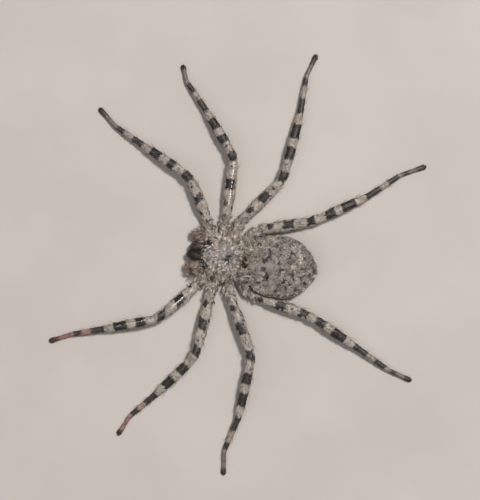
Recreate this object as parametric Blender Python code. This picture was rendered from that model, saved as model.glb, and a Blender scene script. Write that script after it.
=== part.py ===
"""A flattened wall spider at life size, at rest on a floor with all eight legs spread wide.

The body's long axis lies on Y with the head toward -Y, and +X is the animal's left side.
The floor is z = 0. Lengths below are in millimetres and become metres when a mesh is made.
"""

import math
from collections import namedtuple

import bmesh
import bpy
import numpy as np

# Scale and clearances
MM = 0.001
JOINT_GAP = 0.28
EYE_GAP = 0.05
UP = np.array([0.0, 0.0, 1.0])

# Middle of the leg span in body coordinates, which becomes the model's origin
SPAN_MIDDLE = (0.049, 0.154)

# Mesh fineness
LIMB_SIDES = 12
LIMB_STEP = 0.45
BODY_SIDES = 28
SHIELD_SIDES = 44
EYE_SEGMENTS = 10
EYE_RINGS = 6
SMOOTH_ANGLE = math.radians(42.0)

# A limb's bend at a joint is spread this far to each side of it
BEND_REACH = 0.35
BEND_SAMPLES = 15
TANGENT_STEP = 0.04

# Heights of a leg's centre line at its joints, from the coxa's inner end to the tip.
# The last pair passes under the edge of the abdomen and lies lower.
LEG_LEVELS = (0.72, 0.84, 1.26, 1.32, 0.80, 0.36, 0.10)
LAST_LEG_LEVELS = (0.70, 0.74, 0.98, 1.12, 0.74, 0.36, 0.10)

# Width of a leg against its stage: 0 coxa, 1 femur, 2 patella, 3 tibia, 4 metatarsus, 5 tarsus, 6 tip
LEG_GIRTH = (
    (0.00, 0.46),
    (0.40, 0.74),
    (0.75, 0.96),
    (1.00, 0.88),
    (1.15, 0.95),
    (1.45, 1.17),
    (1.80, 1.05),
    (2.00, 0.90),
    (2.40, 1.00),
    (2.80, 0.95),
    (3.00, 0.85),
    (3.35, 0.98),
    (3.75, 0.86),
    (4.00, 0.71),
    (4.12, 0.63),
    (4.50, 0.60),
    (5.00, 0.51),
    (5.12, 0.47),
    (5.50, 0.47),
    (5.80, 0.54),
    (6.00, 0.52),
)

# Height of a leg over its width, at the same stages
LEG_FLATNESS = ((0.0, 0.95), (1.0, 0.85), (1.5, 0.78), (3.0, 0.82), (4.0, 0.84), (5.0, 0.90), (6.0, 0.92))
LEG_TIP_ROUND = 0.24

# Each leg's coxa and femur start (x, y), then heading from +X in degrees and length
# of femur, patella, tibia, metatarsus and tarsus
Leg = namedtuple("Leg", "coxa base headings lengths levels")
LEGS = {
    "l1": Leg(
        coxa=(1.12, -2.76),
        base=(2.68, -3.68),
        headings=(-40.6, -50.5, -71.0, -72.5, -64.0),
        lengths=(4.08, 1.13, 4.57, 3.15, 2.11),
        levels=LEG_LEVELS,
    ),
    "l2": Leg(
        coxa=(1.38, -2.02),
        base=(3.42, -2.50),
        headings=(-5.2, -17.0, -38.0, -41.5, -24.0),
        lengths=(5.06, 1.27, 4.43, 3.25, 1.99),
        levels=LEG_LEVELS,
    ),
    "l3": Leg(
        coxa=(1.40, -1.28),
        base=(3.37, -0.74),
        headings=(28.2, 6.0, -4.0, -14.7, 6.4),
        lengths=(5.54, 1.10, 4.88, 3.40, 2.15),
        levels=LEG_LEVELS,
    ),
    "l4": Leg(
        coxa=(1.12, -0.58),
        base=(2.95, 1.12),
        headings=(77.8, 71.0, 63.7, 63.1, 73.0),
        lengths=(5.45, 1.02, 4.25, 3.82, 2.22),
        levels=LAST_LEG_LEVELS,
    ),
    "r1": Leg(
        coxa=(-1.32, -2.76),
        base=(-2.68, -3.48),
        headings=(-150.0, -127.0, -116.0, -116.0, -130.0),
        lengths=(4.42, 1.04, 4.42, 3.10, 2.20),
        levels=LEG_LEVELS,
    ),
    "r2": Leg(
        coxa=(-1.58, -2.02),
        base=(-3.33, -2.05),
        headings=(-179.0, -151.0, -141.0, -138.0, -159.0),
        lengths=(5.54, 1.08, 3.98, 3.41, 1.50),
        levels=LEG_LEVELS,
    ),
    "r3": Leg(
        coxa=(-1.60, -1.28),
        base=(-3.44, -0.68),
        headings=(143.5, 168.5, 173.9, 179.0, 163.0),
        lengths=(5.27, 1.36, 4.98, 3.49, 2.17),
        levels=LEG_LEVELS,
    ),
    "r4": Leg(
        coxa=(-1.32, -0.58),
        base=(-2.90, 0.98),
        headings=(107.4, 117.0, 123.0, 131.2, 117.0),
        lengths=(4.72, 1.16, 4.59, 3.70, 2.40),
        levels=LAST_LEG_LEVELS,
    ),
}

# Each leg is parted at these stages: behind the patella and before the metatarsus
LEG_PIECES = (("femur", 0.0, 2.0), ("tibia", 2.0, 4.0), ("tarsus", 4.0, 6.0))

# Head and thorax shield: half outline from front to back (x, y), about its own middle
PROSOMA_X = -0.10
PROSOMA_MIDDLE_Y = -2.00
SHIELD_HALF_OUTLINE = (
    (0.00, -3.86),
    (0.62, -3.84),
    (1.08, -3.52),
    (1.70, -2.92),
    (2.12, -2.20),
    (2.16, -1.40),
    (1.78, -0.62),
    (1.12, -0.14),
    (0.00, -0.06),
)
SHIELD_RIM_Z = 1.50
SHIELD_CEILING_Z = 1.37
SHIELD_CROWN = 1.04
SHIELD_FULLNESS = 2.4
SHIELD_SHOULDER = 0.78
SHIELD_RING_SHARES = (0.16, 0.34, 0.52, 0.68, 0.81, 0.91, 0.97, 1.0)
LIP_SHARE = 0.985
CEILING_SHARES = (0.95, 0.80)
FACE_DROP = 0.50
FACE_HALF_ANGLE = math.radians(24.0)
FACE_EDGE = math.radians(8.0)

# Breastbone under the shield
STERNUM_MIDDLE_Y = -1.70
STERNUM_HALF = (0.86, 1.12)
STERNUM_FULLNESS = 2.8
STERNUM_LEVELS = ((1.0, SHIELD_CEILING_Z), (0.97, 0.66), (0.80, 0.52))
STERNUM_BOTTOM_Z = 0.49

# Eyes: place over the shield (x, y) and radius
Eye = namedtuple("Eye", "name x y radius")
EYES = (
    Eye("front_middle", 0.20, -3.71, 0.110),
    Eye("front_inner", 0.56, -3.67, 0.125),
    Eye("front_outer", 0.88, -3.53, 0.080),
    Eye("rear", 1.06, -3.20, 0.165),
)
EYE_SINK = 0.35

# Jaws, turned a little to the animal's right: centre lines from root to tip, then width against
# share of length, and depth over width
JAW_ROUTES = {
    "l": ((0.30, -4.06, 1.30), (0.27, -4.70, 1.30), (0.24, -4.80, 0.42)),
    "r": ((0.60, -4.06, 1.30), (0.62, -4.60, 1.30), (0.58, -4.70, 0.42)),
}
JAW_STAGES = ((0.00, 0.66), (0.25, 0.74), (0.55, 0.74), (0.80, 0.64), (0.94, 0.48), (1.00, 0.30))
JAW_DEPTH = 1.12
JAW_RINGS = 9

# Palps curl round the outside of the jaws, the right one held a little tighter
PALP_ROUTES = {
    "l": (
        (1.02, -3.60, 0.66),
        (1.62, -4.00, 0.98),
        (1.98, -4.38, 1.06),
        (1.64, -4.74, 0.94),
        (1.08, -4.82, 0.74),
    ),
    "r": (
        (1.02, -3.60, 0.66),
        (1.60, -3.96, 1.00),
        (1.96, -4.28, 1.12),
        (1.72, -4.62, 1.00),
        (1.42, -4.66, 0.78),
    ),
}
PALP_STAGES = ((0.00, 0.38), (0.20, 0.48), (0.45, 0.62), (0.70, 0.64), (0.92, 0.50), (1.00, 0.28))
PALP_DEPTH = 0.92
PALP_RINGS = 12

# Abdomen and its stalk, measured from front to back. The fullnesses are the powers of its
# rounded outline, the slope is the power by which its height grows from the stalk, the rise
# is the power by which its middle climbs from the stalk's, and the droop lowers its tail.
ABDOMEN_X = 0.12
STALK_FRONT_Y = -0.24
STALK_HALF_WIDTH = 0.36
STALK_LEVELS = (0.60, 1.16)
ABDOMEN_FRONT_Y = 0.26
ABDOMEN_WIDEST_Y = 3.62
ABDOMEN_REAR_Y = 6.80
ABDOMEN_HALF_WIDTH = 2.86
ABDOMEN_LEVELS = (0.44, 2.48)
ABDOMEN_MIDDLE_Z = 1.62
FRONT_FULLNESS = 2.6
REAR_FULLNESS = 1.7
FRONT_SLOPE = 1.75
MIDDLE_RISE = 2.0
TAIL_DROOP = 0.34
UPPER_FULLNESS = 2.3
LOWER_FULLNESS = 1.9
ABDOMEN_RINGS = 20

# Spinnerets: a flat boss under the abdomen's end, then two pairs of cones
SPINNERET_BOSS = ((0.0, 5.88, 0.34), (0.0, 6.34, 0.49))
BOSS_WIDTHS = (0.60, 0.86, 0.80)
BOSS_DEPTH = 0.32
Cone = namedtuple("Cone", "x start end base tip")
SPINNERET_CONES = (
    Cone(0.21, (6.16, 0.47), (6.92, 0.83), 0.27, 0.13),
    Cone(0.19, (6.14, 0.37), (6.76, 0.53), 0.25, 0.13),
)
CONE_SIDES = 10

# Colours as linear red, green and blue, with roughness
FINISHES = {
    "shield": ((0.27, 0.245, 0.225), 0.80),
    "abdomen": ((0.225, 0.20, 0.165), 0.85),
    "leg": ((0.42, 0.36, 0.30), 0.70),
    "palp": ((0.16, 0.125, 0.10), 0.80),
    "jaw": ((0.016, 0.013, 0.012), 0.25),
    "eye": ((0.008, 0.007, 0.008), 0.08),
    "spinneret": ((0.20, 0.165, 0.14), 0.75),
}


def clear_scene():
    """Remove whatever the file holds."""
    for thing in list(bpy.data.objects):
        bpy.data.objects.remove(thing, do_unlink=True)


def finish(kind):
    """Return the material of one kind of surface, made at its first use."""
    material = bpy.data.materials.get(kind)
    if material is None:
        colour, roughness = FINISHES[kind]
        material = bpy.data.materials.new(kind)
        material.use_nodes = True
        shader = material.node_tree.nodes["Principled BSDF"]
        shader.inputs["Base Color"].default_value = (*colour, 1.0)
        shader.inputs["Roughness"].default_value = roughness
        shader.inputs["Metallic"].default_value = 0.0
        material.diffuse_color = (*colour, 1.0)
    return material


def solid_from(name, points, faces, kind):
    """Make one object from points in millimetres, its faces turned outward."""
    offset = np.array([SPAN_MIDDLE[0], SPAN_MIDDLE[1], 0.0])
    mesh = bpy.data.meshes.new(name)
    mesh.from_pydata(((points - offset) * MM).tolist(), [], faces)
    work = bmesh.new()
    work.from_mesh(mesh)
    bmesh.ops.recalc_face_normals(work, faces=work.faces)
    work.to_mesh(mesh)
    work.free()
    mesh.shade_smooth()
    mesh.set_sharp_from_angle(angle=SMOOTH_ANGLE)
    mesh.materials.append(finish(kind))
    solid = bpy.data.objects.new(name, mesh)
    bpy.context.collection.objects.link(solid)
    return solid


def closed_loft(name, rings, first_pole, last_pole, kind):
    """Skin rings of equal count and close both ends with a fan about a pole."""
    count, sides = rings.shape[:2]
    points = np.vstack([rings.reshape(-1, 3), first_pole, last_pole])
    first = count * sides
    faces = []
    for ring in range(count - 1):
        for side in range(sides):
            beside = (side + 1) % sides
            low, high = ring * sides, (ring + 1) * sides
            faces.append((low + side, low + beside, high + beside, high + side))
    last_ring = (count - 1) * sides
    for side in range(sides):
        beside = (side + 1) % sides
        faces.append((beside, side, first))
        faces.append((last_ring + side, last_ring + beside, first + 1))
    return solid_from(name, points, faces, kind)


def eased(table, stages):
    """Read a (stage, value) table with a level start and end to each step between its entries."""
    keys = np.array([row[0] for row in table])
    values = np.array([row[1] for row in table])
    place = np.clip(np.searchsorted(keys, stages, side="right") - 1, 0, len(keys) - 2)
    share = np.clip((stages - keys[place]) / (keys[place + 1] - keys[place]), 0.0, 1.0)
    share = share * share * (3.0 - 2.0 * share)
    return values[place] * (1.0 - share) + values[place + 1] * share


def knots_of(corners):
    """Distances along a polyline at which its corners lie."""
    spans = np.linalg.norm(np.diff(np.asarray(corners, float), axis=0), axis=1)
    return np.concatenate(([0.0], np.cumsum(spans)))


def along(corners, distances):
    """Points at the given distances on a polyline, its bends rounded by a running mean."""
    corners = np.asarray(corners, float)
    knots = knots_of(corners)
    reach = 2.0 * BEND_REACH
    lead = corners[0] - (corners[1] - corners[0]) * reach / (knots[1] - knots[0])
    trail = corners[-1] + (corners[-1] - corners[-2]) * reach / (knots[-1] - knots[-2])
    corners = np.vstack([lead, corners, trail])
    knots = np.concatenate(([-reach], knots, [knots[-1] + reach]))
    samples = np.asarray(distances)[:, None] + np.linspace(-BEND_REACH, BEND_REACH, BEND_SAMPLES)
    return np.stack([np.interp(samples, knots, corners[:, axis]).mean(axis=1) for axis in range(3)], axis=1)


def limb_rings(corners, distances, widths, depths, sides=LIMB_SIDES):
    """Elliptical rings square to a rounded route, none of them lower than the floor."""
    distances = np.asarray(distances, float)
    centres = along(corners, distances)
    ahead = along(corners, distances + TANGENT_STEP) - along(corners, distances - TANGENT_STEP)
    ahead /= np.linalg.norm(ahead, axis=1, keepdims=True)
    side = np.cross(ahead, UP)
    side /= np.linalg.norm(side, axis=1, keepdims=True)
    rise = np.cross(side, ahead)
    turn = np.arange(sides) * 2.0 * math.pi / sides
    across = side[:, None, :] * (0.5 * widths[:, None] * np.cos(turn))[:, :, None]
    upward = rise[:, None, :] * (0.5 * depths[:, None] * np.sin(turn))[:, :, None]
    rings = centres[:, None, :] + across + upward
    rings[..., 2] = np.maximum(rings[..., 2], 0.0)
    return rings


def capped(name, rings, kind):
    """A loft closed with flat ends."""
    return closed_loft(name, rings, rings[0].mean(axis=0), rings[-1].mean(axis=0), kind)


def leg_corners(leg):
    """Joints of a leg in space, from the coxa's inner end to the tip."""
    places = [leg.coxa, leg.base]
    for heading, length in zip(leg.headings, leg.lengths):
        angle = math.radians(heading)
        x, y = places[-1]
        places.append((x + length * math.cos(angle), y + length * math.sin(angle)))
    return [(x, y, z) for (x, y), z in zip(places, leg.levels)]


def tip_rounding(distances, end):
    """Share of the full girth left near the end of a limb, on a quarter of an ellipse."""
    near = np.clip((distances - (end - LEG_TIP_ROUND)) / LEG_TIP_ROUND, 0.0, 1.0)
    return np.sqrt(np.maximum(1.0 - near * near, 0.0))


def leg_piece(name, leg, start_stage, end_stage):
    """One length of a leg between two of its joints, cut square with half a gap at each."""
    corners = leg_corners(leg)
    knots = knots_of(corners)
    stages = np.arange(len(knots))
    start = np.interp(start_stage, stages, knots)
    end = np.interp(end_stage, stages, knots)
    if start_stage > 0.0:
        start += 0.5 * JOINT_GAP
    at_tip = end_stage >= stages[-1]
    if not at_tip:
        end -= 0.5 * JOINT_GAP
    body_end = end - LEG_TIP_ROUND if at_tip else end
    count = max(2, math.ceil((body_end - start) / LIMB_STEP)) + 1
    distances = np.linspace(start, body_end, count)
    if at_tip:
        distances = np.concatenate([distances, end - LEG_TIP_ROUND * np.array([0.62, 0.30, 0.08])])
    stage = np.interp(distances, knots, stages)
    widths = eased(LEG_GIRTH, stage)
    if at_tip:
        widths = widths * tip_rounding(distances, end)
    depths = widths * np.interp(stage, *zip(*LEG_FLATNESS))
    return capped(name, limb_rings(corners, distances, widths, depths), "leg")


def make_legs():
    """All eight legs, each in three lengths."""
    for name, leg in LEGS.items():
        for piece, start, end in LEG_PIECES:
            leg_piece(f"leg_{name}_{piece}", leg, start, end)


def spline_loop(half_outline, count):
    """Evenly turned points of a closed curve through a mirrored half outline, as (angle, radius)."""
    right = np.array(half_outline)
    left = right[-2:0:-1] * np.array([-1.0, 1.0])
    loop = np.vstack([right, left])
    before, after, far = np.roll(loop, 1, axis=0), np.roll(loop, -1, axis=0), np.roll(loop, -2, axis=0)
    t = np.linspace(0.0, 1.0, 24, endpoint=False)[:, None, None]
    curve = 0.5 * (
        2.0 * loop
        + (after - before) * t
        + (2.0 * before - 5.0 * loop + 4.0 * after - far) * t**2
        + (3.0 * loop - before - 3.0 * after + far) * t**3
    )
    curve = curve.transpose(1, 0, 2).reshape(-1, 2) - np.array([0.0, PROSOMA_MIDDLE_Y])
    angle = np.arctan2(curve[:, 0], -curve[:, 1])
    radius = np.linalg.norm(curve, axis=1)
    order = np.argsort(angle)
    turns = (np.arange(count) + 0.5) * 2.0 * math.pi / count - math.pi
    return turns, np.interp(turns, angle[order], radius[order], period=2.0 * math.pi)


def shield_reach(turns):
    """Distance from the shield's middle to its edge in each direction, 0 being straight ahead."""
    angles, radii = spline_loop(SHIELD_HALF_OUTLINE, 8 * SHIELD_SIDES)
    return np.interp(turns, angles, radii, period=2.0 * math.pi)


def shield_top(share):
    """Height of the shield's upper face at a share of the way from its middle to its edge."""
    return SHIELD_RIM_Z + SHIELD_CROWN * np.maximum(1.0 - share**SHIELD_FULLNESS, 0.0) ** SHIELD_SHOULDER


def shield_surface(x, y):
    """Point and outward direction of the shield's upper face over (x, y), about its own middle."""

    def height(px, py):
        dx, dy = px, py - PROSOMA_MIDDLE_Y
        reach = shield_reach(np.array([math.atan2(dx, -dy)]))[0]
        return float(shield_top(np.array([math.hypot(dx, dy) / reach]))[0])

    step = 0.02
    slope_x = (height(x + step, y) - height(x - step, y)) / (2.0 * step)
    slope_y = (height(x, y + step) - height(x, y - step)) / (2.0 * step)
    outward = np.array([-slope_x, -slope_y, 1.0])
    return np.array([x, y, height(x, y)]), outward / np.linalg.norm(outward)


def face_share(turns):
    """1 straight ahead, where the face goes down behind the jaws, falling to 0 at its sides."""
    return np.clip(0.5 - (np.abs(turns) - FACE_HALF_ANGLE) / FACE_EDGE, 0.0, 1.0)


def prosoma_rings():
    """Rings from the top of the shield over its rim, under it and down to the breastbone."""
    turns = (np.arange(SHIELD_SIDES) + 0.5) * 2.0 * math.pi / SHIELD_SIDES - math.pi
    reach = shield_reach(turns)
    way_x, way_y = np.sin(turns), -np.cos(turns)
    ceiling = SHIELD_CEILING_Z - FACE_DROP * face_share(turns)
    middle_y = PROSOMA_MIDDLE_Y

    def ring(share, level):
        level = np.broadcast_to(level, turns.shape)
        return np.stack([PROSOMA_X + way_x * reach * share, middle_y + way_y * reach * share, level], axis=1)

    rings = [ring(share, shield_top(np.array(share))) for share in SHIELD_RING_SHARES]
    rings.append(ring(LIP_SHARE, 0.5 * (SHIELD_RIM_Z + ceiling)))
    rings.extend(ring(share, ceiling) for share in CEILING_SHARES)

    half_x, half_y = STERNUM_HALF
    power = STERNUM_FULLNESS
    sternum = (np.abs(way_x / half_x) ** power + np.abs(way_y / half_y) ** power) ** (-1.0 / power)
    for share, level in STERNUM_LEVELS:
        x = PROSOMA_X + way_x * sternum * share
        y = STERNUM_MIDDLE_Y + way_y * sternum * share
        z = np.minimum(level, ceiling)
        rings.append(np.stack([x, y, z], axis=1))
    return np.array(rings)


def ball(name, centre, radius, kind):
    """A closed ball of EYE_SEGMENTS by EYE_RINGS faces."""
    down = np.arange(1, EYE_RINGS) * math.pi / EYE_RINGS
    turn = np.arange(EYE_SEGMENTS) * 2.0 * math.pi / EYE_SEGMENTS
    ring_x = np.sin(down)[:, None] * np.cos(turn)
    ring_y = np.sin(down)[:, None] * np.sin(turn)
    ring_z = np.broadcast_to(np.cos(down)[:, None], ring_x.shape)
    rings = centre + radius * np.stack([ring_x, ring_y, ring_z], axis=2)
    return closed_loft(name, rings, centre + radius * UP, centre - radius * UP, kind)


def eye_centre(eye, side):
    """Centre of an eye sunk a little into the shield on one side, +1 for the left."""
    point, outward = shield_surface(side * eye.x, eye.y)
    point[0] += PROSOMA_X
    return point - outward * eye.radius * EYE_SINK


def make_eyes():
    """Eight eyes, and one guide mesh of eight larger balls that cuts their sockets."""
    cutters = []
    for eye in EYES:
        for side, letter in ((1.0, "l"), (-1.0, "r")):
            centre = eye_centre(eye, side)
            ball(f"eye_{eye.name}_{letter}", centre, eye.radius, "eye")
            cutters.append(ball("socket", centre, eye.radius + EYE_GAP, "eye"))
    joined = bmesh.new()
    for cutter in cutters:
        joined.from_mesh(cutter.data)
        bpy.data.objects.remove(cutter, do_unlink=True)
    mesh = bpy.data.meshes.new("eye_sockets")
    joined.to_mesh(mesh)
    joined.free()
    guide = bpy.data.objects.new("eye_sockets", mesh)
    guide.hide_render = True
    guide.display_type = "WIRE"
    bpy.context.collection.objects.link(guide)
    return guide


def make_prosoma(sockets):
    """Shield, face and breastbone as one body, with a shallow cup for each eye."""
    rings = prosoma_rings()
    top = np.array([PROSOMA_X, PROSOMA_MIDDLE_Y, SHIELD_RIM_Z + SHIELD_CROWN])
    bottom = np.array([PROSOMA_X, STERNUM_MIDDLE_Y, STERNUM_BOTTOM_Z])
    prosoma = closed_loft("prosoma", rings, top, bottom, "shield")
    cut = prosoma.modifiers.new("eye_cups", "BOOLEAN")
    cut.operation = "DIFFERENCE"
    cut.solver = "EXACT"
    cut.object = sockets


def staged_limb(name, corners, stages, depth_share, ring_count, kind):
    """A limb whose width follows a (share of length, width) table."""
    length = knots_of(corners)[-1]
    shares = 0.5 - 0.5 * np.cos(np.linspace(0.0, math.pi, ring_count))
    widths = eased(stages, shares)
    rings = limb_rings(corners, shares * length, widths, widths * depth_share)
    return capped(name, rings, kind)


def mirrored(corners, side):
    """A route of the head placed on one side of its axis, +1 for the left."""
    return [(PROSOMA_X + side * x, y, z) for x, y, z in corners]


def make_mouthparts():
    """Both jaws and both palps."""
    for side, letter in ((1.0, "l"), (-1.0, "r")):
        jaw = mirrored(JAW_ROUTES[letter], side)
        staged_limb(f"chelicera_{letter}", jaw, JAW_STAGES, JAW_DEPTH, JAW_RINGS, "jaw")
        palp = mirrored(PALP_ROUTES[letter], side)
        staged_limb(f"palp_{letter}", palp, PALP_STAGES, PALP_DEPTH, PALP_RINGS, "palp")


def abdomen_spread(y, front_power):
    """Share of the abdomen's full width or height that it has at y, a superellipse each way."""
    front = (ABDOMEN_WIDEST_Y - y) / (ABDOMEN_WIDEST_Y - ABDOMEN_FRONT_Y)
    rear = (y - ABDOMEN_WIDEST_Y) / (ABDOMEN_REAR_Y - ABDOMEN_WIDEST_Y)
    ahead = y < ABDOMEN_WIDEST_Y
    power = np.where(ahead, front_power, REAR_FULLNESS)
    part = np.clip(np.where(ahead, front, rear), 0.0, 1.0)
    return (1.0 - part**power) ** (1.0 / power)


def signed_power(values, power):
    """Raise sizes to a power and keep their signs."""
    return np.sign(values) * np.abs(values) ** power


def make_abdomen():
    """Flat oval abdomen that narrows in front to the stalk that holds it."""
    share = 0.5 - 0.5 * np.cos(np.arange(1, ABDOMEN_RINGS) * math.pi / ABDOMEN_RINGS)
    oval = ABDOMEN_FRONT_Y + share * (ABDOMEN_REAR_Y - ABDOMEN_FRONT_Y)
    stalk = np.linspace(STALK_FRONT_Y, ABDOMEN_FRONT_Y, 3)
    places = np.concatenate([stalk, oval])
    wide = abdomen_spread(places, FRONT_FULLNESS)
    tall = abdomen_spread(places, FRONT_SLOPE)
    behind = places > ABDOMEN_WIDEST_Y
    stalk_wide = np.where(behind, 0.0, 1.0 - wide)
    stalk_tall = np.where(behind, 0.0, 1.0 - tall)
    stalk_middle = sum(STALK_LEVELS) / 2.0
    half_width = ABDOMEN_HALF_WIDTH * wide + STALK_HALF_WIDTH * stalk_wide
    middle = ABDOMEN_MIDDLE_Z + (stalk_middle - ABDOMEN_MIDDLE_Z) * stalk_wide**MIDDLE_RISE
    to_tail = np.clip((places - ABDOMEN_WIDEST_Y) / (ABDOMEN_REAR_Y - ABDOMEN_WIDEST_Y), 0.0, 1.0)
    middle = middle - TAIL_DROOP * to_tail**2
    low = middle - (ABDOMEN_MIDDLE_Z - ABDOMEN_LEVELS[0]) * tall - (stalk_middle - STALK_LEVELS[0]) * stalk_tall
    high = middle + (ABDOMEN_LEVELS[1] - ABDOMEN_MIDDLE_Z) * tall + (STALK_LEVELS[1] - stalk_middle) * stalk_tall
    turn = np.arange(BODY_SIDES) * 2.0 * math.pi / BODY_SIDES
    above = np.sin(turn) >= 0.0
    power = np.where(above, 2.0 / UPPER_FULLNESS, 2.0 / LOWER_FULLNESS)
    height = np.where(above, (high - middle)[:, None], (middle - low)[:, None])
    x = ABDOMEN_X + half_width[:, None] * signed_power(np.cos(turn), power)
    y = np.broadcast_to(places[:, None], x.shape)
    z = middle[:, None] + height * signed_power(np.sin(turn), power)
    rings = np.stack([x, y, z], axis=2)
    tail = np.array([ABDOMEN_X, ABDOMEN_REAR_Y, ABDOMEN_MIDDLE_Z - TAIL_DROOP])
    closed_loft("abdomen", rings, rings[0].mean(axis=0), tail, "abdomen")


def keep_largest(mesh):
    """Keep only the largest of a mesh's separate surfaces."""
    work = bmesh.new()
    work.from_mesh(mesh)
    waiting = set(work.faces)
    islands = []
    while waiting:
        island, edge_of = set(), [waiting.pop()]
        while edge_of:
            face = edge_of.pop()
            island.add(face)
            for edge in face.edges:
                for beside in edge.link_faces:
                    if beside in waiting:
                        waiting.discard(beside)
                        edge_of.append(beside)
        islands.append(island)
    islands.sort(key=lambda island: -sum(face.calc_area() for face in island))
    scraps = [face for island in islands[1:] for face in island]
    bmesh.ops.delete(work, geom=scraps, context="FACES")
    work.to_mesh(mesh)
    work.free()


def fused(name, base, pieces):
    """Join closed pieces to a base with one union and keep the result as one body."""
    group = bpy.data.collections.new(f"{name}_pieces")
    for piece in pieces:
        group.objects.link(piece)
    union = base.modifiers.new("join", "BOOLEAN")
    union.operation = "UNION"
    union.solver = "EXACT"
    union.operand_type = "COLLECTION"
    union.collection = group
    view = bpy.context.evaluated_depsgraph_get()
    mesh = bpy.data.meshes.new_from_object(base.evaluated_get(view))
    base.modifiers.clear()
    base.data = mesh
    base.name = name
    for piece in pieces:
        bpy.data.objects.remove(piece, do_unlink=True)
    bpy.data.collections.remove(group)
    keep_largest(mesh)
    return base


def make_spinnerets():
    """Two pairs of small cones on a flat boss under the end of the abdomen."""
    start, end = (np.array(point) + np.array([ABDOMEN_X, 0.0, 0.0]) for point in SPINNERET_BOSS)
    length = float(np.linalg.norm(end - start))
    widths = np.array(BOSS_WIDTHS)
    distances = np.linspace(0.0, length, len(widths))
    depths = np.full(len(widths), BOSS_DEPTH)
    boss = capped("spinnerets", limb_rings((start, end), distances, widths, depths), "spinneret")
    pieces = []
    for cone in SPINNERET_CONES:
        for side in (1.0, -1.0):
            root = (ABDOMEN_X + side * cone.x, *cone.start)
            tip = (ABDOMEN_X + side * cone.x, *cone.end)
            reach = knots_of((root, tip))[-1] * np.array([0.0, 0.55, 0.9, 1.0])
            girth = np.array([cone.base, 0.5 * (cone.base + cone.tip) + 0.02, cone.tip, 0.5 * cone.tip])
            rings = limb_rings((root, tip), reach, girth, girth, CONE_SIDES)
            pieces.append(capped("cone", rings, "spinneret"))
    fused("spinnerets", boss, pieces)


def main():
    """Build every piece of the animal."""
    clear_scene()
    sockets = make_eyes()
    make_prosoma(sockets)
    make_mouthparts()
    make_abdomen()
    make_spinnerets()
    make_legs()


main()
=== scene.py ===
"""A flattened wall spider at life size, resting on a plain pale floor and seen from straight above.

The body's long axis lies on Y with the head toward -Y, and +X is the animal's left side. Lengths
are in millimetres in the animal's own coordinates and become metres when a mesh is made.
"""

import logging
import math
from dataclasses import dataclass, field, replace
from enum import Enum
from typing import Callable, Optional

import bpy
import numpy as np
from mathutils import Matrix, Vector


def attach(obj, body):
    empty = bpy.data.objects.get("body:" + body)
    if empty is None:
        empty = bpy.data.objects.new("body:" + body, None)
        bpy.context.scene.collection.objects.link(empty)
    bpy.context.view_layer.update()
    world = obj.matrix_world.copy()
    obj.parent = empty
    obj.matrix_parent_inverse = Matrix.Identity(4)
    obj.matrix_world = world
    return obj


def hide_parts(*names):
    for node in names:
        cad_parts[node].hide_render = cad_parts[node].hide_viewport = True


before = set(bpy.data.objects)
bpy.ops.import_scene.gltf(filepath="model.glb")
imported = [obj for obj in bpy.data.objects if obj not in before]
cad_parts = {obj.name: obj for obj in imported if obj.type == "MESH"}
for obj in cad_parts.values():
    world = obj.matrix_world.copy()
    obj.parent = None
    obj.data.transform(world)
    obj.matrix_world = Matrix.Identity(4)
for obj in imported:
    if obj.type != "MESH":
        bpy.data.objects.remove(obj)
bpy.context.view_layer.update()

LOG = logging.getLogger("flat_wall_spider")

MM = 0.001
SPAN_MIDDLE = np.array([0.049, 0.154, 0.0])
UP = np.array([0.0, 0.0, 1.0])
FLOOR_CLEARANCE = 0.004
FULL_TURN = 2.0 * math.pi

# How deep the coat is over the skin, on the limbs and on the body
LIMB_COAT = 0.045
BODY_COAT = 0.080

# The coat's tips near this height but don't pass it
COAT_CEILING = 2.60
CEILING_SOFTNESS = 0.10

# A limb's bend at a joint is spread this far to each side of it
BEND_REACH = 0.35
BEND_SAMPLES = 15
TANGENT_STEP = 0.04

Array = np.ndarray
Material = bpy.types.Material
Node = bpy.types.Node
Object = bpy.types.Object
Socket = bpy.types.NodeSocket
Tree = bpy.types.NodeTree
Pair = tuple[float, float]
Point = tuple[float, float, float]
Chart = tuple[float, float, float, float]
Colour = tuple[float, float, float, float]
Table = tuple[Pair, ...]
Rows = tuple[tuple[float, ...], ...]
Corners = tuple[Point, ...]
Share = Callable[["Spots"], Array]
Input = Socket | float | Colour
Values = dict[str, Array]

# Parts of the map as (u, v, width, height), and the room that a closed end takes beyond its last ring
WHOLE_MAP: Chart = (0.02, 0.02, 0.96, 0.96)
HALF_MAPS: tuple[Chart, Chart] = ((0.02, 0.02, 0.96, 0.46), (0.02, 0.51, 0.96, 0.46))
POLE_MARGIN = 0.012
PATCH_SIZE = 0.003

# What the mesh says of each place, and how far a leg's grain is pressed together lengthwise
TRAIT_NAMES = ("mark", "tone", "bloom", "warm")
GRAIN_ALONG = 0.2

# A leg's tone at its shin, where the lower leg's colours are full and the foot's begin
SHIN_TONE = 0.62


class Side(Enum):
    """A side of the body, with its direction along X."""

    LEFT = 1.0
    RIGHT = -1.0

    @property
    def letter(self) -> str:
        """The side's letter in a piece's name."""
        return self.name[0].lower()


class Region(Enum):
    """A part of the skin, by the finish that it wears."""

    SHIELD = "shield"
    ABDOMEN = "abdomen_skin"
    LEG = "leg"
    PALP = "palp"


def linear(red: float, green: float, blue: float) -> Colour:
    """Turn a colour as a screen shows it, 0 to 255, into the scene's linear light."""
    shares = (np.array([red, green, blue]) / 255.0 + 0.055) / 1.055
    return (*(float(v) for v in shares**2.4), 1.0)


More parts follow.
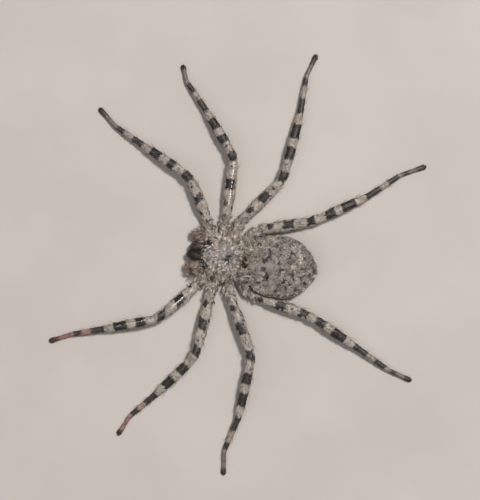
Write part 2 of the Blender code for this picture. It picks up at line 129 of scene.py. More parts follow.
def smooth(low: float, high: float, value: Array) -> Array:
    """Rise from 0 at low to 1 at high by 3x^2 - 2x^3 of the share x of the way, level at both ends."""
    share = np.clip((value - low) / (high - low), 0.0, 1.0)
    return share * share * (3.0 - 2.0 * share)


def eased(table: Table, places: Array) -> Array:
    """Read a (place, value) table with a level start and end to each step between its entries.

    Args:
        table: Places in rising order, each with its value.
        places: Where to read it.

    Returns:
        The value at each place.
    """
    keys, values = np.array(table).T
    step = np.clip(np.searchsorted(keys, places, side="right") - 1, 0, len(keys) - 2)
    share = smooth(0.0, 1.0, (places - keys[step]) / (keys[step + 1] - keys[step]))
    return values[step] * (1.0 - share) + values[step + 1] * share


def unit(vectors: Array) -> Array:
    """Scale the vectors in the last axis to length one."""
    return vectors / np.maximum(np.linalg.norm(vectors, axis=-1, keepdims=True), 1e-12)


def signed_power(values: Array, power: float | Array) -> Array:
    """Raise sizes to a power and keep their signs."""
    return np.sign(values) * np.abs(values) ** power


def mound(distance: Array, reach: float) -> Array:
    """A bell of height one that falls to 1/e at the given reach."""
    return np.exp(-((distance / reach) ** 2))


def around(centre: Array, side: Array, rise: Array, across: Array, above: Array) -> Array:
    """Points that lie across along the side and above along the rise from each centre."""
    return centre + side * across[..., None] + rise * above[..., None]


def faces_out(rings: Array) -> bool:
    """Find whether faces that go round each ring and then ahead turn away from the rings' middle.

    Args:
        rings: Points as (ring, side, xyz).

    Returns:
        Whether most of their area faces out.
    """
    ahead = rings[1:] - rings[:-1]
    beside = np.roll(rings, -1, axis=1)[:-1] - rings[:-1]
    outside = rings[:-1] - rings.mean(axis=(0, 1))
    return bool(np.einsum("ijk,ijk->", np.cross(beside, ahead), outside) > 0.0)


def on_floor(points: Array) -> Array:
    """Lift points that would lie below the floor."""
    points[..., 2] = np.maximum(points[..., 2], FLOOR_CLEARANCE)
    return points


def linked(name: str, data: bpy.types.ID) -> Object:
    """Make an object of its data and put it in the scene.

    Args:
        name: Its name.
        data: The data.

    Returns:
        The object.
    """
    made = bpy.data.objects.new(name, data)
    bpy.context.scene.collection.objects.link(made)
    return made


def under_ceiling(heights: Array) -> Array:
    """Bend heights over toward the coat's ceiling c: c - w * exp(-(z - c + w) / w) above c - w.

    Args:
        heights: Heights of the coat's points.

    Returns:
        The heights, all below c.
    """
    knee = COAT_CEILING - CEILING_SOFTNESS
    over = np.maximum(heights - knee, 0.0) / CEILING_SOFTNESS
    return np.where(over > 0.0, COAT_CEILING - CEILING_SOFTNESS * np.exp(-over), heights)


@dataclass
class Route:
    """A polyline whose bends are rounded by a running mean of its points."""

    corners: Array
    knots: Array = field(init=False)

    def __post_init__(self) -> None:
        """Note the distance at which each corner lies."""
        self.corners = np.asarray(self.corners, float)
        spans = np.linalg.norm(np.diff(self.corners, axis=0), axis=1)
        self.knots = np.concatenate(([0.0], np.cumsum(spans)))

    @property
    def length(self) -> float:
        """Distance from the first corner to the last."""
        return float(self.knots[-1])

    def along(self, distances: Array) -> Array:
        """Points at the given distances, each the mean of the polyline over a bend's reach.

        Args:
            distances: Distances from the first corner.

        Returns:
            One point for each distance.
        """
        reach = 2.0 * BEND_REACH
        first, last = self.corners[0], self.corners[-1]
        lead = first - (self.corners[1] - first) * reach / (self.knots[1] - self.knots[0])
        trail = last + (last - self.corners[-2]) * reach / (self.knots[-1] - self.knots[-2])
        corners = np.vstack([lead, self.corners, trail])
        knots = np.concatenate(([-reach], self.knots, [self.knots[-1] + reach]))
        samples = distances[..., None] + np.linspace(-BEND_REACH, BEND_REACH, BEND_SAMPLES)
        axes = [np.interp(samples, knots, corners[:, axis]).mean(axis=-1) for axis in range(3)]
        return np.stack(axes, axis=-1)

    def axes(self, distances: Array) -> tuple[Array, Array, Array, Array]:
        """Centre, heading, side and rise of the route at the given distances.

        Args:
            distances: Distances from the first corner.

        Returns:
            The centre, the way ahead, the way to its right and the way up from both.
        """
        centre = self.along(distances)
        ahead = unit(self.along(distances + TANGENT_STEP) - self.along(distances - TANGENT_STEP))
        side = unit(np.cross(ahead, UP))
        return centre, ahead, side, np.cross(side, ahead)


@dataclass
class Spots:
    """Places on a surface.

    Attributes:
        s: Share of the way along it.
        t: Share of the way round it.
        points: Where each place is.
        normals: The way out of the surface.
        ahead: The way along it.
    """

    s: Array
    t: Array
    points: Array
    normals: Optional[Array] = None
    ahead: Optional[Array] = None

    @property
    def x(self) -> Array:
        """Each place across the body."""
        return self.points[..., 0]

    @property
    def y(self) -> Array:
        """Each place along the body."""
        return self.points[..., 1]

    @property
    def cos(self) -> Array:
        """How far each place is to the side of the surface's middle, from -1 to 1."""
        return np.cos(FULL_TURN * self.t)

    @property
    def sin(self) -> Array:
        """How far each place is above the surface's middle, from -1 to 1."""
        return np.sin(FULL_TURN * self.t)


@dataclass
class Traits:
    """What a finish reads at each point of the skin or of a hair's root.

    Attributes:
        mark: How deep inside a dark marking it is, below zero outside.
        tone: How far toward the region's second ground colour.
        bloom: How far toward its third.
        shine: How bare and glossy the skin is.
        warm: How reddish.
    """

    mark: Array
    tone: Array | float = 0.0
    bloom: Array | float = 0.0
    shine: Array | float = 0.0
    warm: float = 0.0

    def named(self) -> Values:
        """Each trait by the name of its attribute."""
        return {key: np.broadcast_to(value, self.mark.shape) for key, value in vars(self).items()}


@dataclass
class Stock:
    """Points, faces and attributes gathered for one mesh.

    Attributes:
        points: Points in millimetres.
        faces: Faces of one count of corners, the map's place for each corner, and a material slot.
        values: Attributes at each point.
        count: How many points there are.
    """

    points: list[Array] = field(default_factory=list)
    faces: list[tuple[Array, Array, int]] = field(default_factory=list)
    values: dict[str, list[Array]] = field(default_factory=dict)
    count: int = 0

    def add(
        self, points: Array, faces: list[Array], maps: list[Array], values: Values, slot: int = 0
    ) -> None:
        """Add one set of points with its faces.

        Args:
            points: Points in millimetres, one a row.
            faces: Faces by the rows of these points, those of one count of corners together.
            maps: Where the map puts each corner of them.
            values: Attributes at each point.
            slot: Which material the faces wear.
        """
        self.points.append(points)
        for corners, places in zip(faces, maps):
            self.faces.append((corners + self.count, places.reshape(-1, 2), slot))
        for name, value in values.items():
            self.values.setdefault(name, []).append(value)
        self.count += len(points)

    def add_tube(
        self, rings: Array, levels: Optional[Array] = None, chart: Chart = WHOLE_MAP,
        values: Optional[Values] = None, slot: int = 0,
    ) -> None:
        """Add rings of equal count as a tube that a fan closes at each end, with its faces out.

        Args:
            rings: Points as (ring, side, xyz).
            levels: Share of the chart's width at the first pole, at each ring and at the last pole.
            chart: Part of the map that it fills.
            values: Attributes at each point of each ring.
            slot: Which material the faces wear.
        """
        count, sides = rings.shape[:2]
        here = np.arange(count * sides).reshape(count, sides)
        here = np.vstack([np.full(sides, count * sides), here, np.full(sides, count * sides + 1)])
        beside = np.roll(here, -1, axis=1)
        corners = np.stack([here[:-1], beside[:-1], beside[1:], here[1:]], axis=-1)
        levels = np.linspace(0.0, 1.0, count + 2) if levels is None else levels
        u, v, width, height = chart
        places = np.empty((*corners.shape, 2))
        places[..., 0] = u + width * levels[np.arange(count + 1)[:, None, None] + np.array([0, 0, 1, 1])]
        places[..., 1] = v + height / sides * (np.arange(sides)[:, None] + np.array([0.0, 1.0, 1.0, 0.0]))
        places[0, :, 1, 1] -= 0.5 * height / sides
        places[-1, :, 2, 1] -= 0.5 * height / sides
        way = 1 if faces_out(rings) else -1
        parts = (np.s_[:1, :, 1:], np.s_[1:-1], np.s_[-1:, :, :3])
        faces = [corners[part].reshape(-1, corners[part].shape[-1])[:, ::way] for part in parts]
        maps = [places[part].reshape(-1, places[part].shape[-2], 2)[:, ::way] for part in parts]
        points = np.vstack([rings.reshape(-1, 3), rings[0].mean(axis=0), rings[-1].mean(axis=0)])
        flat = {
            key: np.concatenate([value.reshape(-1, *value.shape[2:]), value[0, :1], value[-1, :1]])
            for key, value in (values or {}).items()
        }
        self.add(points, faces, maps, flat, slot)

    def triangles(self) -> int:
        """Number of triangles that the faces come to."""
        return sum(len(part) * (part.shape[1] - 2) for part, _, _ in self.faces)

    def piece(self, name: str, materials: list[Material], slot: str) -> Object:
        """Make the object and set it on the animal.

        Args:
            name: The piece's name.
            materials: What its faces wear, by slot number.
            slot: A material slot's name, not used.

        Returns:
            The object, at the origin, riding on the root body.
        """
        parts, places, slots = zip(*self.faces)
        corners = np.concatenate([part.ravel() for part in parts])
        totals = np.concatenate([np.full(len(part), part.shape[1]) for part in parts])
        worn = np.concatenate([np.full(len(part), number) for part, number in zip(parts, slots)])
        mesh = bpy.data.meshes.new(name)
        mesh.vertices.add(self.count)
        mesh.vertices.foreach_set("co", ((np.vstack(self.points) - SPAN_MIDDLE) * MM).ravel())
        mesh.loops.add(len(corners))
        mesh.loops.foreach_set("vertex_index", corners.astype(np.int32))
        mesh.polygons.add(len(totals))
        starts = np.cumsum(totals) - totals
        for key, value in (("loop_start", starts), ("loop_total", totals), ("material_index", worn)):
            mesh.polygons.foreach_set(key, value.astype(np.int32))
        mesh.polygons.foreach_set("use_smooth", np.ones(len(totals), bool))
        mesh.update(calc_edges=True)
        layer = mesh.uv_layers.new(name="OFBake")
        layer.data.foreach_set("uv", np.vstack(places).astype(np.float32).ravel())
        for key, gathered in self.values.items():
            value = np.concatenate(gathered).astype(np.float32)
            kind, member = ("FLOAT_VECTOR", "vector") if value.ndim == 2 else ("FLOAT", "value")
            mesh.attributes.new(key, kind, "POINT").data.foreach_set(member, value.ravel())
        for material in materials:
            mesh.materials.append(material)
        piece = linked(name, mesh)
        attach(piece, "root")
        LOG.info("%s: %d triangles", name, self.triangles())
        return piece


@dataclass
class Surface:
    """A closed surface worked out from s, 0 to 1 along it, and t, once round it from 0 to 1.

    A subclass gives its formula in at() and what grows and shows on it in traits() and lie().
    """

    rows: int
    cols: int
    chart: Chart
    region: Region
    outward: float = field(init=False, default=1.0)

    def __post_init__(self) -> None:
        """Find which way round the grid has to run for its faces to point out."""
        self.outward = 1.0 if faces_out(self.grid()[:, :-1]) else -1.0

    def at(self, s: Array, t: Array) -> Array:
        """Point of the surface at each (s, t)."""
        raise NotImplementedError

    def traits(self, at: Spots) -> Traits:
        """What the finish reads at each place."""
        return Traits(np.full(at.s.shape, -1.0))

    def grain(self, at: Spots) -> Array:
        """Coordinates for patterns that run along the surface's own lie."""
        return at.points

    def lie(self, at: Spots) -> Array:
        """The way in which the coat lies, along the surface unless a subclass says otherwise."""
        return at.ahead

    def spacing(self) -> Array:
        """Values of s at which the grid has a ring."""
        return np.linspace(0.0, 1.0, self.rows)

    def grid(self) -> Array:
        """Points on the grid, ring by ring, with the first of each ring repeated at its end."""
        s, t = np.meshgrid(self.spacing(), np.linspace(0.0, 1.0, self.cols + 1), indexing="ij")
        return self.at(s, t)

    def stride(self, s: Array, t: Array, step: float) -> tuple[Array, Array]:
        """The way from a step before each (s, t) to a step after it, and the rise of s on it."""
        before, after = np.clip(s - step, 0.0, 1.0), np.clip(s + step, 0.0, 1.0)
        return self.at(after, t) - self.at(before, t), after - before

    def spots(self, s: Array, t: Array) -> Spots:
        """Find places with their unit directions, by differences of the formula.

        Args:
            s: Share of the way along.
            t: Share of the way round.

        Returns:
            The places.
        """
        step = 0.002
        ahead, _ = self.stride(s, t, step)
        round_it = self.at(s, t + step) - self.at(s, t - step)
        normals = unit(np.cross(round_it, ahead)) * self.outward
        return Spots(s, t, self.at(s, t), normals, unit(ahead))

    def scatter(self, per_area: float, where: Share, rng: np.random.Generator) -> tuple[Array, Array]:
        """Draw places on the surface, evenly by area times a share from 0 to 1.

        Args:
            per_area: Places in each square millimetre where the share is 1.
            where: Gives the share at the middle of each cell.
            rng: The draw.

        Returns:
            s and t of each place.
        """
        points, rings = self.grid(), self.spacing()
        here, beside, after = points[:-1, :-1], points[:-1, 1:], points[1:, :-1]
        area = np.linalg.norm(np.cross(after - here, beside - here), axis=2)
        middle = 0.25 * (after + here + points[1:, 1:] + beside)
        turns = (np.arange(self.cols) + 0.5) / self.cols
        s, t = np.meshgrid(0.5 * (rings[1:] + rings[:-1]), turns, indexing="ij")
        weight = (area * np.clip(where(Spots(s, t, middle)), 0.0, 1.0)).ravel()
        count = int(round(per_area * weight.sum()))
        if count == 0:
            return np.empty(0), np.empty(0)
        cell = rng.choice(len(weight), count, p=weight / weight.sum())
        row, col = np.divmod(cell, self.cols)
        share = rng.random((2, count))
        return rings[row] + (rings[row + 1] - rings[row]) * share[0], (col + share[1]) / self.cols

    def add_to(self, stock: Stock, slot: int) -> None:
        """Put the whole surface into a mesh.

        Args:
            stock: The mesh to add to.
            slot: Which material it wears.
        """
        rings = self.spacing()
        at = self.spots(*np.meshgrid(rings, np.arange(self.cols) / self.cols, indexing="ij"))
        values = {**self.traits(at).named(), "grain": self.grain(at)}
        levels = np.concatenate([[rings[0] - POLE_MARGIN], rings, [rings[-1] + POLE_MARGIN]])
        stock.add_tube(at.points, levels, self.chart, values, slot)


@dataclass
class Tube(Surface):
    """A surface round a route: centre + side * across + rise * above at each (s, t)."""

    corners: Corners
    route: Route = field(init=False)

    def __post_init__(self) -> None:
        """Work out the route before the grid is first needed."""
        self.route = Route(np.array(self.corners))
        super().__post_init__()

    def section(self, s: Array, t: Array) -> tuple[Array, Array]:
        """How far across and above the route each (s, t) is."""
        raise NotImplementedError

    def at(self, s: Array, t: Array) -> Array:
        """Points of the tube, none below the floor."""
        centre, _, side, rise = self.route.axes(s * self.route.length)
        return on_floor(around(centre, side, rise, *self.section(s, t)))


# Width of a leg against its stage: 0 coxa, 1 femur, 2 patella, 3 tibia, 4 metatarsus, 5 tarsus, 6 tip
LEG_GIRTH: Table = (
    (0.00, 0.46), (0.40, 0.74), (0.75, 0.96), (1.00, 0.88), (1.15, 0.95), (1.45, 1.17), (1.80, 1.05),
    (2.00, 0.90), (2.40, 1.00), (2.80, 0.95), (3.00, 0.85), (3.35, 0.98), (3.75, 0.86), (4.00, 0.71),
    (4.12, 0.63), (4.50, 0.60), (5.00, 0.51), (5.12, 0.47), (5.50, 0.47), (5.80, 0.54), (6.00, 0.52),
)
LEG_FLATNESS: Table = (
    (0.0, 0.95), (1.0, 0.85), (1.5, 0.78), (3.0, 0.82), (4.0, 0.84), (5.0, 0.90), (6.0, 0.92),
)
LEG_LEVELS = (0.72, 0.84, 1.26, 1.32, 0.80, 0.36, 0.10)
LAST_LEG_LEVELS = (0.70, 0.74, 0.98, 1.12, 0.74, 0.36, 0.10)


@dataclass(frozen=True)
class LegPlan:
    """Joints and markings of one leg.

    Distances of markings run from the femur's start, and sides are to the right of the way ahead.
    A band is (start, end, slant), a spot (distance, side, half length, half width), and a gleam
    (start, end, side).
    """

    coxa: Pair
    base: Pair
    headings: tuple[float, ...]
    lengths: tuple[float, ...]
    bands: Rows
    spots: Rows
    warm: float = 0.0
    gleams: Rows = ()
    levels: tuple[float, ...] = LEG_LEVELS
    lean: float = 0.14

    def corners(self) -> Corners:
        """Follow the headings over the floor.

        Returns:
            Joints in space, from the coxa's inner end to the tip.
        """
        places = [self.coxa, self.base]
        for heading, length in zip(self.headings, self.lengths):
            angle = math.radians(heading)
            x, y = places[-1]
            places.append((x + length * math.cos(angle), y + length * math.sin(angle)))
        return tuple((x, y, z) for (x, y), z in zip(places, self.levels))


LEG_PLANS: dict[str, LegPlan] = {
    "l1": LegPlan(
        coxa=(1.12, -2.76), base=(2.68, -3.68),
        headings=(-40.6, -50.5, -71.0, -72.5, -64.0), lengths=(4.08, 1.13, 4.57, 3.15, 2.11),
        bands=((1.78, 2.85, -0.12), (4.10, 4.92, -0.30), (6.08, 6.98, 0.0), (7.76, 9.00, 0.05),
               (9.90, 11.25, 0.0), (12.05, 12.85, 0.0), (14.30, 15.4, 0.0)),
        spots=((0.80, 0.40, 0.24, 0.20), (0.25, -0.25, 0.14, 0.12), (5.55, 0.20, 0.09, 0.09)),
        warm=0.9,
        gleams=((0.9, 3.3, 0.06), (6.2, 9.1, 0.06)),
    ),
    "l2": LegPlan(
        coxa=(1.38, -2.02), base=(3.42, -2.50),
        headings=(-5.2, -17.0, -38.0, -41.5, -24.0), lengths=(5.06, 1.27, 4.43, 3.25, 1.99),
        bands=((2.42, 3.50, -0.18), (4.95, 5.85, -0.16), (6.95, 7.95, 0.0), (8.74, 9.88, 0.0),
               (10.80, 12.25, 0.0), (13.00, 13.85, 0.0), (15.55, 16.3, 0.0)),
        spots=((1.05, 0.26, 0.36, 0.27), (0.80, -0.42, 0.14, 0.14), (2.55, -0.42, 0.18, 0.14),
               (4.12, -0.28, 0.09, 0.10), (4.50, 0.18, 0.10, 0.08), (6.45, 0.05, 0.08, 0.12)),
        warm=0.7,
    ),
    "l3": LegPlan(
        coxa=(1.40, -1.28), base=(3.37, -0.74),
        headings=(28.2, 6.0, -4.0, -14.7, 6.4), lengths=(5.54, 1.10, 4.88, 3.40, 2.15),
        bands=((2.60, 3.82, -0.10), (5.30, 6.32, -0.12), (7.42, 8.45, 0.0), (9.25, 10.55, 0.0),
               (11.52, 12.95, 0.0), (14.10, 14.85, 0.0), (16.55, 17.5, 0.0)),
        spots=((1.25, 0.10, 0.40, 0.30), (0.85, -0.38, 0.14, 0.13), (1.75, -0.42, 0.20, 0.14),
               (2.60, -0.45, 0.15, 0.12), (4.60, 0.10, 0.10, 0.10), (6.95, 0.0, 0.08, 0.14)),
        warm=0.15,
    ),
    "l4": LegPlan(
        coxa=(1.12, -0.58), base=(2.95, 1.12),
        headings=(77.8, 71.0, 63.7, 63.1, 73.0), lengths=(5.45, 1.02, 4.25, 3.82, 2.22),
        bands=((2.45, 3.45, -0.06), (4.78, 5.62, -0.06), (6.45, 7.40, 0.0), (8.25, 9.65, 0.0),
               (10.65, 12.15, 0.0), (13.00, 14.15, 0.0), (14.75, 15.30, 0.0), (16.10, 17.0, 0.0)),
        spots=((1.05, 0.16, 0.36, 0.26), (2.30, 0.36, 0.16, 0.14), (4.10, 0.05, 0.10, 0.14)),
        levels=LAST_LEG_LEVELS,
    ),
    "r1": LegPlan(
        coxa=(-1.32, -2.76), base=(-2.68, -3.48),
        headings=(-150.0, -127.0, -116.0, -116.0, -130.0), lengths=(4.42, 1.04, 4.42, 3.10, 2.20),
        bands=((2.34, 3.12, 0.13), (4.50, 5.48, 0.0), (6.46, 7.20, 0.0), (8.05, 9.10, 0.0),
               (10.00, 11.15, 0.0), (12.05, 12.95, 0.0), (14.30, 15.5, 0.0)),
        spots=((1.10, 0.44, 0.13, 0.12), (1.36, -0.28, 0.22, 0.16), (0.50, 0.0, 0.14, 0.14),
               (3.90, -0.16, 0.10, 0.12), (5.98, 0.0, 0.08, 0.10)),
        warm=0.15,
        lean=-0.18,
    ),
    "r2": LegPlan(
        coxa=(-1.58, -2.02), base=(-3.33, -2.05),
        headings=(-179.0, -151.0, -141.0, -138.0, -159.0), lengths=(5.54, 1.08, 3.98, 3.41, 1.50),
        bands=((2.88, 3.92, 0.02), (5.50, 6.38, 0.0), (7.32, 8.18, 0.0), (8.84, 9.90, 0.0),
               (10.70, 12.05, 0.0), (12.85, 13.90, 0.0), (15.10, 15.9, 0.0)),
        spots=((1.20, 0.42, 0.12, 0.14), (1.66, -0.24, 0.26, 0.18), (0.52, -0.16, 0.13, 0.12),
               (4.50, 0.22, 0.12, 0.10), (5.00, -0.12, 0.10, 0.08), (7.02, -0.05, 0.07, 0.12)),
        warm=0.05,
        lean=-0.18,
        gleams=((1.4, 5.3, 0.04),),
    ),
    "r3": LegPlan(
        coxa=(-1.60, -1.28), base=(-3.44, -0.68),
        headings=(143.5, 168.5, 173.9, 179.0, 163.0), lengths=(5.27, 1.36, 4.98, 3.49, 2.17),
        bands=((2.62, 3.66, 0.05), (5.15, 6.20, 0.0), (7.32, 8.50, 0.0), (9.28, 10.68, 0.0),
               (11.62, 13.15, 0.0), (14.20, 15.05, 0.0), (16.30, 17.6, 0.0)),
        spots=((1.35, -0.16, 0.36, 0.27), (0.60, 0.10, 0.10, 0.12), (4.30, 0.05, 0.12, 0.20),
               (6.80, 0.0, 0.09, 0.12)),
        lean=-0.18,
    ),
    "r4": LegPlan(
        coxa=(-1.32, -0.58), base=(-2.90, 0.98),
        headings=(107.4, 117.0, 123.0, 131.2, 117.0), lengths=(4.72, 1.16, 4.59, 3.70, 2.40),
        bands=((2.32, 3.36, -0.06), (4.55, 5.32, 0.0), (6.25, 7.28, 0.0), (7.98, 9.38, 0.0),
               (10.42, 12.00, 0.0), (12.85, 14.05, 0.0), (14.40, 15.10, 0.0), (15.75, 17.0, 0.0)),
        spots=((1.10, -0.18, 0.36, 0.26), (0.40, 0.10, 0.12, 0.14), (3.95, 0.10, 0.12, 0.16)),
        levels=LAST_LEG_LEVELS,
        lean=-0.20,
    ),
}


@dataclass
class Leg(Tube):
    """One whole leg, whose width follows the girth table and is drawn in at each joint and at the tip.

    It lies width / 2 * cos(turn) across its route and depth / 2 * sin(turn) above it.
    """

    plan: LegPlan
    tip_round: float = 0.24
    joint_depth: float = 0.09
    joint_reach: float = 0.13
    gleam_fade: float = 0.25
    gleam_reach: float = 0.13
    slant_width: float = 0.45
    band_cover: tuple[float, ...] = (0.68, 0.84, 1.00, 1.25, 1.50)

    def distance(self, s: Array) -> Array:
        """Distance along the route from the coxa's inner end."""
        return s * self.route.length

    def from_femur(self, s: Array) -> Array:
        """Distance along the route from the femur's start."""
        return self.distance(s) - self.route.knots[1]

    def spacing(self) -> Array:
        """Space the rings evenly, with a few more close to the rounded tip.

        Returns:
            Values of s.
        """
        end = 1.0 - self.tip_round / self.route.length
        tip = 1.0 - (1.0 - end) * (1.0 - np.array([0.3, 0.55, 0.75, 0.88, 0.96, 0.998]))
        return np.concatenate([np.linspace(0.0, end, self.rows - len(tip)), tip])

    def widths(self, s: Array) -> tuple[Array, Array]:
        """Read the girth tables.

        Args:
            s: Share of the way along the route.

        Returns:
            Width and depth of the skin.
        """
        distance = self.distance(s)
        stage = np.interp(distance, self.route.knots, np.arange(7))
        full = eased(LEG_GIRTH, stage)
        depth_share = np.interp(stage, *zip(*LEG_FLATNESS))
        near = np.clip((distance - (self.route.length - self.tip_round)) / self.tip_round, 0.0, 1.0)
        tip = np.sqrt(np.maximum(1.0 - near * near, 0.0))
        joints = sum(mound(distance - knot, self.joint_reach) for knot in self.route.knots[1:6])
        drawn = (1.0 - self.joint_depth * joints) * tip
        return (full - 2.0 * LIMB_COAT) * drawn, (full * depth_share - 2.0 * LIMB_COAT) * drawn

    def section(self, s: Array, t: Array) -> tuple[Array, Array]:
        """How far across and above the route each (s, t) is."""
        width, depth = self.widths(s)
        return 0.5 * width * np.cos(FULL_TURN * t), 0.5 * depth * np.sin(FULL_TURN * t)

    def bare(self, at: Spots) -> Array:
        """Find the bare, glossy streaks on top of the leg.

        Args:
            at: Places on the leg.

        Returns:
            1 along a streak, falling to 0 beside it.
        """
        d = self.from_femur(at.s)
        across, _ = self.section(at.s, at.t)
        fade, streaks = self.gleam_fade, np.zeros(across.shape)
        for start, end, side in self.plan.gleams:
            stretch = smooth(start - fade, start + fade, d) * smooth(end + fade, end - fade, d)
            streaks = np.maximum(streaks, stretch * mound(across - side, self.gleam_reach))
        return streaks * (at.sin > 0.0)

    def grain(self, at: Spots) -> Array:
        """The leg straightened and pressed together lengthwise, so that patterns run along it."""
        return np.stack([*self.section(at.s, at.t), GRAIN_ALONG * self.distance(at.s)], axis=-1)

    def traits(self, at: Spots) -> Traits:
        """Find the bands and spots, how far down the leg it is and how woolly its base.

        Args:
            at: Places on the leg.

        Returns:
            Its traits there.
        """
        d = self.from_femur(at.s)
        half = 0.5 * self.widths(at.s)[0]
        across = half * at.cos
        ends = self.route.knots - self.route.knots[1]
        beneath = 0.25 * smooth(-0.1, -0.7, at.sin)
        lean = self.plan.lean * smooth(ends[2], ends[1], d)
        room = half * np.interp(d, ends[1:6], self.band_cover) - np.abs(across - lean) - beneath
        mark = np.full(d.shape, -1.0)
        for start, end, slant in self.plan.bands:
            shift = slant * across / self.slant_width
            band = np.minimum(d - start - shift, end + shift - d)
            mark = np.maximum(mark, np.minimum(band, room))
        under = np.where(at.sin > -0.2, 0.0, -0.3)
        for middle, side, half_length, half_width in self.plan.spots:
            gap = np.hypot((d - middle) / half_length, (across - side) / half_width)
            mark = np.maximum(mark, (1.0 - gap) * min(half_length, half_width) + under)
        tone = SHIN_TONE * smooth(ends[4] - 0.2, ends[4] + 0.5, d)
        tone = tone + (1.0 - SHIN_TONE) * smooth(ends[5] - 0.3, ends[5] + 0.3, d)
        return Traits(mark, tone, smooth(1.05, -0.20, d), self.bare(at), self.plan.warm)

    def woolly(self, at: Spots) -> Array:
        """Share of wool, over the coxa and the femur's start."""
        return smooth(0.85, 0.0, self.from_femur(at.s)) * (at.sin > -0.8)

    def short_haired(self, at: Spots) -> Array:
        """Share of short lying hair, from the femur on, left out of the bare streaks."""
        below = np.where(at.sin < -0.5, 0.5, 1.0)
        return smooth(-0.4, 0.5, self.from_femur(at.s)) * (1.0 - self.bare(at)) * below

    def fringed(self, at: Spots) -> Array:
        """Share of single standing hairs, not underneath."""
        return smooth(-0.4, 0.2, self.from_femur(at.s)) * (at.sin > -0.6)

    def at_tip(self, at: Spots) -> Array:
        """Share of the tuft at the tip."""
        return smooth(0.55, 0.2, self.route.length - self.distance(at.s))

    def hair_size(self, at: Spots) -> Array:
        """Hair length, shorter toward the tip."""
        return 1.0 - 0.35 * self.traits(at).tone


